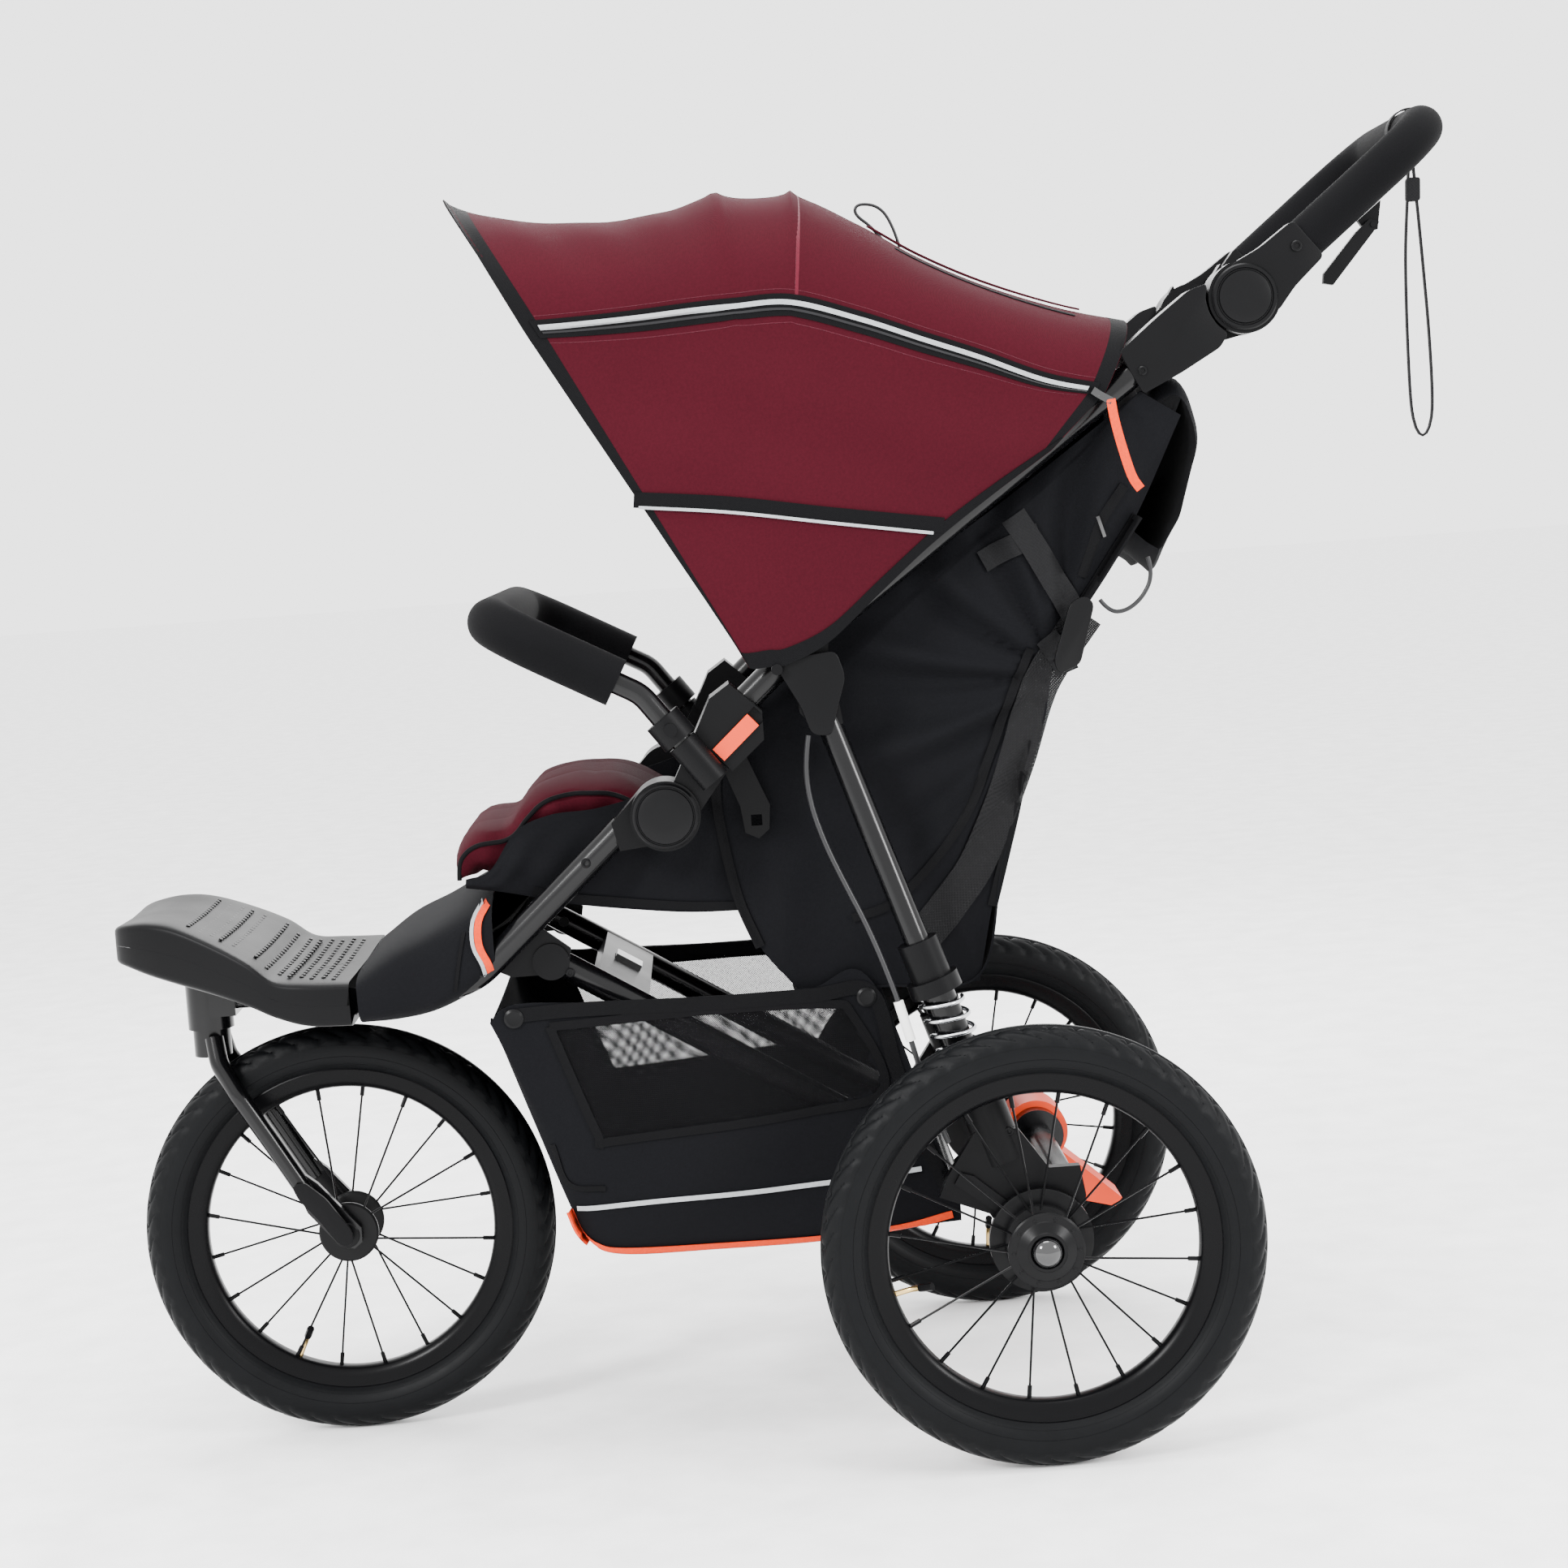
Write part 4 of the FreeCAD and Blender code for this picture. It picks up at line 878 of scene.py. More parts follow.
    def make_spring(self, side: str, sign: int) -> None:
        """A bright coil round the strut."""
        steps = self.coil_turns * 14
        line = []
        for step in range(int(steps) + 1):
            z = self.spring_low + (self.spring_high - self.spring_low) * step / steps
            turn = 2 * math.pi * self.coil_turns * step / steps
            line.append(at(sign * (232 + self.coil_radius * math.cos(turn)),
                           self.strut(z) + self.coil_radius * math.sin(turn), z))
        coil = meshed(curve_piece(f"spring_{side}_coil", [line], 2.0, Look.STEEL))
        settle(coil, "rear_legs", "spring_steel", f"spring_{side}")
        top = at(0, self.strut(self.spring_high), self.spring_high)
        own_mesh(coil)


@dataclass
class WristStrap:
    """A loop of webbing that hangs from the handlebar."""

    x: float = 50.0
    wide: float = 5.6
    grip: Point2 = (432.0, 1176.0)
    turn_radius: float = 21.2
    loop: tuple[Point2, ...] = ((431, 1155), (428, 1120), (423, 1060), (421, 980), (422, 915), (430, 894),
                                (439, 915), (440, 980), (437, 1060), (434, 1120), (432, 1155))

    def build(self) -> None:
        """A narrow hanging loop, a turn round the grip and a stitched keeper."""
        route = [at(self.x, *smooth_path(self.loop, step / 80)) for step in range(81)]
        settle(ribbon("wrist_strap_loop", route, self.wide, 1.8, Look.WEBBING), "handle", "black_fabric",
               "wrist_strap")
        turns = [2 * math.pi * step / 48 for step in range(49)]
        ring = [at(self.x, self.grip[0] + self.turn_radius * math.cos(turn),
                   self.grip[1] + self.turn_radius * math.sin(turn)) for turn in turns]
        band = ribbon("wrist_strap_turn", ring, 12, 1.3, Look.WEBBING)
        settle(band, "handle", "black_fabric")
        keeper = rounded([(425, 1112), (438, 1112), (439, 1134), (426, 1134)], 3)
        fit("wrist_strap_keeper", plate(keeper, self.x - 4, self.x + 4, 1.0), Look.WEBBING, "handle",
            "black_fabric")


# ---- Cloth ----------------------------------------------------------------------------------------

def at_share(stops: Sequence[Sequence[float]], share: float) -> list[float]:
    """Numbers that pass smoothly through evenly spaced stops.

    Args:
        stops: the numbers at each stop.
        share: the place, from 0 at the first stop to 1 at the last.

    Returns:
        One number for each of a stop's numbers.
    """
    place = min(max(share, 0.0), 1.0) * (len(stops) - 1)
    index = min(int(place), len(stops) - 2)
    return [passing(column, index, place - index) for column in zip(*stops)]


def section_point(turn: float, power: float, half: float, low: float, top: float) -> Point2:
    """A point (x, z) of a rounded rectangle, from its angle; a smaller power is squarer."""
    across, up = (math.copysign(abs(wave) ** power, wave) for wave in (math.cos(turn), math.sin(turn)))
    return half * across, (low + top) / 2 + (top - low) / 2 * up


class Drape:
    """Lays strips, seams and studs on the outer side of a piece, from lines drawn in the side view."""

    def __init__(self, piece: bpy.types.Object) -> None:
        """Keep a search tree of the piece's faces."""
        shape = bmesh.new()
        shape.from_mesh(piece.data)
        self.tree = BVHTree.FromBMesh(shape)
        shape.free()

    def lay(self, y: float, z: float, lift: float) -> Vector:
        """The point a little outside the piece at a side-view place, all in millimetres."""
        start = at(600, y, z)
        hit = self.tree.ray_cast(start, Vector((-1, 0, 0)))[0]
        if hit is None:
            near = self.tree.find_nearest(at(190, y, z))[0]
            hit = Vector((near.x, start.y, start.z))
        return hit + Vector((lift * MM, 0, 0))

    def strip(self, line: Sequence[Point2], wide: float, lift: float = 0.6, thick: float = 1.2,
              rows: int = 4) -> bmesh.types.BMesh:
        """A tape of even width along a side-view line, on both sides of the stroller."""
        length = sum(math.dist(a, b) for a, b in zip(line, line[1:]))
        steps = max(int(length / 5), 8)
        spots = [smooth_path(line, n / steps) for n in range(steps + 1)]

        def place(u: float, v: float) -> Vector:
            """A point of the tape."""
            index = round(v * steps)
            ahead = spots[min(index + 1, steps)] - spots[max(index - 1, 0)]
            side = Vector((-ahead.y, ahead.x)).normalized() * (u - 0.5) * wide
            return self.lay(spots[index].x + side.x, spots[index].y + side.y, lift)

        return both(raised(grid_sheet(steps, rows, place), thick))

    def stud(self, y: float, z: float, radius: float, lift: float = 0.5) -> bmesh.types.BMesh:
        """A domed round stud on both sides."""
        spot = self.lay(y, z, lift)
        x = spot.x / MM
        dome = [(x, 0), (x, radius), (x + 1.2, radius), (x + 2.4, radius * 0.75), (x + 2.0, radius * 0.55),
                (x + 2.2, 0)]
        return both(turned(dome, (y, z), 28))


@dataclass
class Canopy:
    """One cloth from the front bow to the rear hem, with its tapes, binding, zip and pulls."""

    stops: tuple[tuple[float, ...], ...] = (
        (-224, 730, -402, 1039, -476, 1166, 221, 215), (-223, 728, -352, 1040, -410, 1155, 222, 214),
        (-221, 727, -300, 1042, -340, 1150, 222, 213), (-216, 727, -250, 1045, -275, 1153, 222, 213),
        (-206, 728, -215, 1046, -224, 1160, 222, 213), (-190, 729, -165, 1046, -153, 1156, 221, 213),
        (-152, 746, -104, 1027, -95, 1127, 219, 211), (-105, 785, -50, 1006, -40, 1092, 215, 207),
        (-56, 825, 0, 987, 20, 1062, 209, 201), (0, 864, 58, 963, 90, 1036, 201, 192),
        (60, 903, 113, 950, 152, 1020, 190, 180))
    wall: float = 0.55
    ribs: tuple[float, float] = (0.4, 0.5)

    def spot(self, along: float, across: float, lift: float = 0.0) -> Vector:
        """A point of the cloth.

        Args:
            along: 0 at the front bow, 1 at the rear hem.
            across: 0 at the left hem, 0.5 on the roof's middle, 1 at the right hem.
            lift: how far outside the cloth, in millimetres.

        Returns:
            The point, in the row frame.
        """
        by, bz, sy, sz, ty, tz, x_low, x_high = at_share(self.stops, along)
        side = 1 if across <= 0.5 else -1
        height = 1 - abs(2 * across - 1)
        pull = math.sin(math.pi * min(max(along / self.ribs[0], 0), 1)) if along < self.ribs[0] else 0.0
        if height < self.wall:
            t = height / self.wall
            x = x_low + (x_high - x_low) * t + 5 * math.sin(math.pi * t) - 4 * pull * t
            y, z = by + (sy - by) * t, bz + (sz - bz) * t
            crease = math.sin((y * 0.6 + z) * 0.045 + 2.2 * math.sin(z * 0.013)) * 1.3
            crease += 1.6 * math.sin((z - y * 1.4) * 0.03) * t * (1 - t) * 4 * pull
            x += crease * math.sin(math.pi * t) + lift
            return at(side * x, y, z)
        theta = (height - self.wall) / (1 - self.wall) * math.pi / 2
        out, rise = math.cos(theta) ** 0.8, math.sin(theta) ** 0.86
        first, second = (abs(along - rib) for rib in self.ribs)
        bump = 5.5 * math.exp(-first / 0.014) + 5 * math.exp(-second / 0.009)
        bump += 7 * math.exp(-along / 0.02)
        between = math.sin(math.pi * (along - self.ribs[0]) / (self.ribs[1] - self.ribs[0]))
        sag = 6.0 * pull * rise + (4.0 * rise * between if self.ribs[0] < along < self.ribs[1] else 0.0)
        sag += 1.3 * math.sin(along * 60 + across * 14) * math.sin(2 * theta) * pull
        x = (x_high - 4 * pull * math.sin(theta * 2)) * out
        y = sy + (ty - sy) * rise
        z = sz + (tz - sz) * rise + (bump - sag) * min(rise * 2, 1)
        normal = Vector((math.cos(theta) * side, 0, math.sin(theta)))
        return at(side * x, y, z) + normal * lift * MM

    def build(self) -> None:
        """Make the cloth and everything sewn to it."""
        cloth = thicken(grid_sheet(124, 132, lambda u, v: self.spot(v, u)), 1.4)
        piece = solid_from("canopy_cloth", cloth, Look.BURGUNDY, SOFT)
        self.drape = Drape(piece)
        self.finish(piece, "burgundy_fabric", "canopy_front", "canopy_rear")
        self.make_bindings()
        self.make_tapes()
        self.make_pulls()

    def sew(self, name: str, shape: bmesh.types.BMesh, look: Look, slot: str = "black_fabric",
            sharp: float = SOFT) -> None:
        """Finish a shape as a piece of the canopy."""
        self.finish(solid_from(name, shape, look, sharp), slot)

    def finish(self, piece: bpy.types.Object, slot: str, *nodes: str) -> None:
        """Hide the CAD nodes that a piece of the canopy stands for and bake its placement into its mesh."""
        if nodes:
            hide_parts(*nodes)
        at(0, -142, 738)
        at(0, -307, 700)
        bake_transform(piece)

    def across_band(self, along: float, wide: float, low: float = 0.0,
                    high: float = 1.0) -> bmesh.types.BMesh:
        """A tape on the cloth that runs from hem to hem over the roof."""
        band = grid_sheet(130, 3, lambda u, v: self.spot(along + u * wide, low + (high - low) * v, 1.7))
        return thicken(band, 1.2)

    def along_band(self, start: float, end: float, across: float, low: float, high: float,
                   lift: float = 1.7) -> bmesh.types.BMesh:
        """A tape on the cloth that runs from front to rear, on both sides.

        Args:
            start: where it starts, from 0 at the front bow to 1.
            end: where it ends.
            across: the line that it follows, from 0 at the hem to 0.5 on the roof's middle.
            low: its lower edge, in millimetres above that line.
            high: its upper edge.
            lift: how far outside the cloth it lies, in millimetres.

        Returns:
            The tape and its mirror.
        """
        def place(u: float, v: float) -> Vector:
            """A point of the tape, at an even width along its run."""
            along = start + (end - start) * v
            step = 0.01
            first = min(max(across, 0.0), 0.5 - step)
            run = (self.spot(along, first + step) - self.spot(along, first)).length / MM / step
            return self.spot(along, max(across + (low + (high - low) * u) / run, 0.0), lift)

        return both(thicken(grid_sheet(150, 3, place), 1.1))

    def make_bindings(self) -> None:
        """Black binding on the front edge, the lower hem and the rear edge, and the rib's seam."""
        shape = join_shapes(self.across_band(-0.004, 0.036), self.across_band(0.975, 0.028),
                            self.along_band(0.0, 1.0, 0.0, 0.0, 15.0))
        self.sew("canopy_binding", shape, Look.TAPE)
        seam = self.across_band(self.ribs[1] + 0.006, 0.005, self.wall / 2, 1 - self.wall / 2)
        self.sew("canopy_rib_seam", seam, Look.BURGUNDY_DARK, "burgundy_fabric")

    def make_tapes(self) -> None:
        """The upper zip tape and the lower tape, each with a reflective piping."""
        middle = self.wall / 2
        shape = self.along_band(0.02, 0.985, middle, -10.5, 8.5, 1.6)
        self.sew("canopy_upper_tape", shape, Look.TAPE)
        shape = self.along_band(0.03, 0.97, middle, -0.6, 3.2, 2.9)
        self.sew("canopy_upper_piping", shape, Look.SILVER)
        teeth = self.along_band(0.03, 0.97, middle, -5.6, -3.4, 2.4)
        self.sew("canopy_upper_zip", teeth, Look.ZIP)
        line = [(-316, 884), (-231, 874), (-140, 858), (-42, 842)]
        tape = self.drape.strip(line, 14, 0.8, 0.9)
        self.sew("canopy_lower_tape", tape, Look.TAPE)
        line = [(-312, 877), (-231, 867), (-140, 851), (-52, 836)]
        self.sew("canopy_lower_piping", self.drape.strip(line, 2.8, 1.6, 1.2, 2), Look.SILVER)
        zipped = self.along_band(0.66, 0.92, 0.42, -3.0, 4.0, 1.5)
        self.sew("canopy_vent_zip", zipped, Look.TAPE)
        flap = self.along_band(0.62, 0.93, 0.462, -16.0, 20.0, 4.0)
        self.sew("canopy_vent_flap", flap, Look.BURGUNDY, "burgundy_fabric")
        hems = join_shapes(self.along_band(0.01, 0.99, middle, 13.0, 13.7, 0.5),
                           self.along_band(0.03, 0.96, middle, -16.7, -16.0, 0.5),
                           self.along_band(0.62, 0.93, 0.462, -13.5, -12.7, 4.7))
        self.sew("canopy_stitching", hems, Look.STITCH, "burgundy_fabric")

    def make_pulls(self) -> None:
        """The orange zip puller, the zip's slider and the elastic loop on the roof."""
        strap = [(117, 944), (119, 925), (124, 900), (131, 874), (138, 862)]
        puller = self.drape.strip(strap, 8.5, 4.0, 1.6)
        self.sew("canopy_orange_puller", puller, Look.PIPING, "orange_plastic", sharp=50)
        tab = self.drape.strip([(101, 953), (108, 948), (118, 942)], 7, 3.4, 2.2)
        self.sew("canopy_zip_slider", tab, Look.GLOSS, "gloss_black", sharp=50)
        loop = [at(0, -62, 1109), at(2, -74, 1126), at(4, -92, 1140), at(5, -88, 1150), at(3, -66, 1146),
                at(1, -54, 1124), at(0, -50, 1106)]
        knot = curve_piece("canopy_elastic_loop", [loop], 1.5, Look.CABLE)
        settle(knot, "upper_frame", "black_fabric")


@dataclass
class Pad:
    """A crowned cushion with a sewn edge, over a sheet of place and thickness."""

    name: str
    body: str
    nodes: tuple[str, ...]
    line: tuple[Point2, ...]
    half: float
    thick: float
    look: Look
    slot: str
    channels: int = 5
    under: float = 3.0

    def spot(self, across: float, along: float, side: float) -> Vector:
        """A point of the top or the underside of the pad.

        Args:
            across: 0 at the right edge, 1 at the left.
            along: 0 to 1 along the line.
            side: 1 for the top, -1 for the underside.

        Returns:
            The point, in the row frame.
        """
        here = smooth_path(self.line, along)
        ahead = smooth_path(self.line, min(along + 0.01, 1)) - smooth_path(self.line, max(along - 0.01, 0))
        normal = Vector((-ahead.y, ahead.x)).normalized()
        edge = (1 - abs(2 * across - 1) ** 5) ** 0.5 * (1 - abs(2 * along - 1) ** 9) ** 0.5
        channel = abs(math.sin(math.pi * along * self.channels)) ** 0.35
        rib = abs(math.sin(math.pi * across * 3)) ** 0.3 if side > 0 else 1.0
        height = (self.thick * (0.45 + 0.4 * channel + 0.15 * rib) if side > 0 else -self.under) * edge
        tuck = 1 - 0.02 * math.sin(math.pi * along * self.channels * 2) ** 2
        x = (2 * across - 1) * self.half * tuck
        return at(x, here.x + normal.x * height, here.y + normal.y * height)

    def build(self) -> None:
        """Close the top and the underside into one cushion and add its edge piping."""
        rows, columns = 72, 64
        top = grid_sheet(rows, columns, lambda u, v: self.spot(u, v, 1.0))
        low = grid_sheet(rows, columns, lambda u, v: self.spot(u, v, -1.0))
        shape = welded(join_shapes(top, low))
        piece = solid_from(self.name, shape, self.look, 70)
        self.puff(piece)
        settle(piece, self.body, self.slot, *self.nodes)
        edges = [[self.spot(u, step / 40, 1.0) for step in range(41)] for u in (0.006, 0.994)]
        settle(curve_piece(f"{self.name}_piping", edges, 2.2, Look.TAPE), self.body, "black_fabric")

    def puff(self, piece: bpy.types.Object, frames: int = 12, limit: float = 5.0) -> None:
        """Let a short cloth simulation fill the cushion, and keep every point within a few millimetres."""
        before = [vert.co.copy() for vert in piece.data.vertices]
        cloth = piece.modifiers.new("fill", "CLOTH")
        cloth.settings.quality = 4
        cloth.settings.use_pressure = True
        cloth.settings.uniform_pressure_force = 3.0
        cloth.settings.effector_weights.gravity = 0.0
        scene = bpy.context.scene
        for number in range(1, frames + 1):
            scene.frame_set(number)
        graph = bpy.context.evaluated_depsgraph_get()
        filled = piece.evaluated_get(graph).data
        after = [vert.co.copy() for vert in filled.vertices]
        piece.modifiers.remove(cloth)
        scene.frame_set(1)
        for vert, start, end in zip(piece.data.vertices, before, after):
            move = end - start
            if move.length > limit * MM:
                move = move.normalized() * limit * MM
            vert.co = start + move


@dataclass
class SeatSides:
    """The black side cloth, with its folds, mesh pocket, straps and zip."""

    front: tuple[Point2, ...] = ((-198, 424), (-232, 468), (-250, 520), (-262, 600), (-258, 652),
                                 (-196, 712),
                                 (-70, 802), (40, 875), (148, 950))
    rear: tuple[Point2, ...] = ((-32, 421), (-16, 490), (-3, 532), (14, 590), (30, 655), (56, 722),
                                (98, 782),
                                (138, 838), (184, 926))
    x: float = 158.5
    buckle: Point2 = (62.0, 700.0)
    skirt_low: tuple[Point2, ...] = ((-497, 541), (-468, 536), (-438, 529), (-404, 520), (-350, 511),
                                     (-294, 504),
                                     (-240, 502), (-188, 500))
    skirt_top: tuple[Point2, ...] = ((-497, 549), (-474, 556), (-448, 590), (-415, 603), (-372, 606),
                                     (-318, 618),
                                     (-262, 634), (-188, 640))

    def spot(self, across: float, along: float) -> Vector:
        """A point of the left side, with folds that fan out from the buckle."""
        low, high = smooth_path(self.front, along), smooth_path(self.rear, along)
        place = low.lerp(high, across)
        run, rise = place.x - self.buckle[0], place.y - self.buckle[1]
        turn = math.atan2(rise, run)
        reach = math.hypot(run, rise)
        pull = math.exp(-((reach - 150) / 130) ** 2)
        folds = 7.0 * math.sin(turn * 11 + 0.8) * pull + 3.4 * math.sin(turn * 23 + reach * 0.018) * pull
        folds += 2.4 * math.sin(place.y * 0.035 + place.x * 0.02)
        folds += 1.4 * math.sin(place.x * 0.07 - place.y * 0.03)
        edge = min(across, 1 - across, along * 1.4, (1 - along) * 1.4)
        x = self.x + 9 * min(edge * 6, 1) + folds * min(edge * 8, 1)
        return at(x, place.x, place.y)

    def build(self) -> None:
        """The side cloths and what is sewn to them."""
        shape = both(thicken(grid_sheet(130, 84, self.spot), 1.6))
        piece = solid_from("seat_side_cloth", shape, Look.BLACK_CLOTH, SOFT)
        settle(piece, "upper_frame", "black_fabric", "seat_side_panels")
        self.make_skirt()
        drape = Drape(piece)
        mesh_line = [(86, 752), (50, 706), (34, 676), (15, 624), (-8, 572), (-30, 528), (-56, 496),
                     (-80, 470)]
        pocket = drape.strip(mesh_line, 34, 1.4, 1.0, 8)
        fit("side_mesh_pocket", pocket, Look.AIR_MESH, "upper_frame", "mesh_fabric", sharp=SOFT)
        edge_line = [(33, 724), (12, 681), (-10, 630), (-35, 580), (-68, 537), (-108, 502), (-146, 490)]
        tapes = [drape.strip(edge_line, 8, 1.6, 1.0), drape.strip(list(self.rear)[1:8], 9, 0.9, 1.2),
                 drape.strip(list(self.front)[1:5], 9, 0.9, 1.2)]
        fit("side_cloth_tapes", join_shapes(*tapes), Look.TAPE, "upper_frame", "black_fabric", sharp=SOFT)
        straps = [drape.strip([(24, 846), (44, 812), (66, 770), (78, 748)], 24, 2.6, 1.4),
                  drape.strip([(-6, 806), (20, 818), (48, 828)], 20, 2.0, 1.3),
                  drape.strip([(48, 734), (60, 716), (66, 700)], 22, 2.4, 1.4)]
        fit("side_webbing_straps", join_shapes(*straps), Look.WEBBING, "upper_frame", "black_fabric",
            sharp=SOFT)
        buckle = rounded([(56, 700), (76, 708), (92, 762), (84, 770), (70, 764), (52, 712)], 6)
        fit("side_buckle", both(plate(buckle, 178, 183, 1.4)), Look.CAP, "upper_frame", "moulded_black")
        zipped = drape.strip([(126, 866), (104, 836), (92, 806), (84, 786)], 9, 1.0, 1.0)
        fit("side_zip_tape", zipped, Look.TAPE, "upper_frame", "black_fabric", sharp=SOFT)
        pull = drape.strip([(100, 840), (103, 830), (106, 821)], 3.0, 2.4, 1.8)
        fit("side_zip_pull", pull, Look.GLOSS, "upper_frame", "gloss_black", sharp=50)

    def skirt_spot(self, across: float, along: float) -> Vector:
        """A point of the left side of the seat's own cloth."""
        low = smooth_path(self.skirt_low, along)
        place = low.lerp(smooth_path(self.skirt_top, along), across)
        edge = math.sin(math.pi * min(across * 1.1, 1))
        folds = 2.6 * math.sin(along * 22 + across * 5) + 1.6 * math.sin(along * 41 - across * 9)
        return at(153 + 4 * edge + folds * edge * min(along * 5, 1), place.x, place.y)

    def make_skirt(self) -> None:
        """The seat's own side cloth, below the liner, with a hem."""
        piece = solid_from("seat_skirt", both(thicken(grid_sheet(90, 30, self.skirt_spot), 1.6)),
                           Look.BLACK_CLOTH, SOFT)
        settle(piece, "front_frame", "black_fabric")
        hem = Drape(piece).strip([(-436, 535), (-404, 526), (-294, 510), (-200, 505)], 8, 0.8, 1.0)
        fit("seat_skirt_hem", hem, Look.TAPE, "front_frame", "black_fabric", sharp=SOFT)


@dataclass
class RearPouch:
    """The sheet behind the seat and the flap rolled over its top."""

    line: tuple[Point2, ...] = ((-203, 427), (-120, 424), (-33, 428), (-4, 533), (38, 649), (58, 722),
                                (112, 799))
    half: float = 161.0
    ring: tuple[Point2, ...] = ((124, 812), (150, 796), (160, 792), (176, 818), (190, 860), (202, 910),
                                (196, 940),
                                (180, 958), (158, 950), (150, 905), (136, 850), (124, 812))
    roll_middle: Point2 = (160.0, 874.0)

    def spot(self, across: float, along: float) -> Vector:
        """A point of the hanging sheet, which sags between the sides."""
        place = smooth_path(self.line, along)
        sag = math.sin(math.pi * across)
        ripple = 2.5 * math.sin(across * 19 + along * 7) * sag
        return at((2 * across - 1) * self.half, place.x + 5 * sag * min(along * 2, 1) + ripple,
                  place.y - 5 * sag * (1 - min(along * 2, 1)))

    def roll(self, around: float, along: float) -> Vector:
        """A point of the rolled flap: around its section and along its width."""
        spot = smooth_path(self.ring, around % 1.0)
        middle = Vector(self.roll_middle)
        grow = 1 + 0.05 * math.sin(along * 17 + around * 9) + 0.03 * math.sin(around * 40 + along * 5)
        end = 1 - 0.16 * abs(2 * along - 1) ** 8
        place = middle + (spot - middle) * grow * end
        return at((2 * along - 1) * (self.half - 4), place.x, place.y)

    def build(self) -> None:
        """The sheet, the closed roll and the cords that hold it."""
        piece = solid_from("rear_pouch_sheet", thicken(grid_sheet(90, 60, self.spot), 1.8), Look.BLACK_CLOTH,
                           SOFT)
        settle(piece, "upper_frame", "black_fabric", "rear_pouch")
        shape = capped(grid_sheet(72, 96, lambda u, v: self.roll(v, u)))
        roll = solid_from("rear_flap_roll", shape, Look.BLACK_CLOTH, SOFT)
        settle(roll, "upper_frame", "black_fabric")
        for side, x in (("left", 160), ("right", -160)):
            line = [at(x, *p) for p in ((146, 800), (150, 784), (140, 764), (124, 752), (108, 752),
                                        (100, 764))]
            cord = curve_piece(f"rear_flap_cord_{side}", [line], 2.0, Look.CABLE)
            settle(cord, "upper_frame", "black_fabric")


@dataclass
class Apron:
    """The rounded black cover between the footplate and the seat."""

    stations: tuple[tuple[float, ...], ...] = ((-474, 455, 536, 183), (-500, 440, 524, 184),
                                               (-535, 426, 506, 181),
                                               (-570, 420, 491, 176), (-603, 420, 468, 170))
    roundness: float = 0.42

    def spot(self, around: float, along: float) -> Vector:
        """A point round the cover's rounded section."""
        y, low, top, half = at_share(self.stations, along)
        turn = 2 * math.pi * around
        x, z = section_point(turn, self.roundness, half, low, top)
        ripple = 1.6 * math.sin(turn * 3 + along * 9) * math.sin(math.pi * along)
        return at(x + ripple, y - 2 * math.sin(turn) * along, z)

    def build(self) -> None:
        """The cover, its seams and the orange edging with a reflective strip."""
        shape = welded(grid_sheet(48, 128, lambda u, v: self.spot(v, u)))
        piece = solid_from("front_apron_cloth", thicken(shape, 1.6), Look.BLACK_CLOTH, SOFT)
        settle(piece, "front_frame", "black_fabric", "front_apron")
        drape = Drape(piece)
        hoop = [(-478, 528), (-486, 514), (-487, 492), (-480, 474), (-478, 462)]
        fit("apron_orange_edging", drape.strip(hoop, 6.5, 1.0, 1.6, 3), Look.PIPING, "front_frame",
            "orange_plastic", sharp=SOFT)
        inner = [(y - 5.5, z) for y, z in hoop]
        fit("apron_reflective_strip", drape.strip(inner, 3.4, 1.0, 1.2, 2), Look.SILVER, "front_frame",
            "black_fabric", sharp=SOFT)
        seam = [(-512, 450), (-506, 480), (-500, 505)]
        fit("apron_seam", drape.strip(seam, 3, 0.7, 0.8, 2), Look.TAPE, "front_frame", "black_fabric",
            sharp=SOFT)


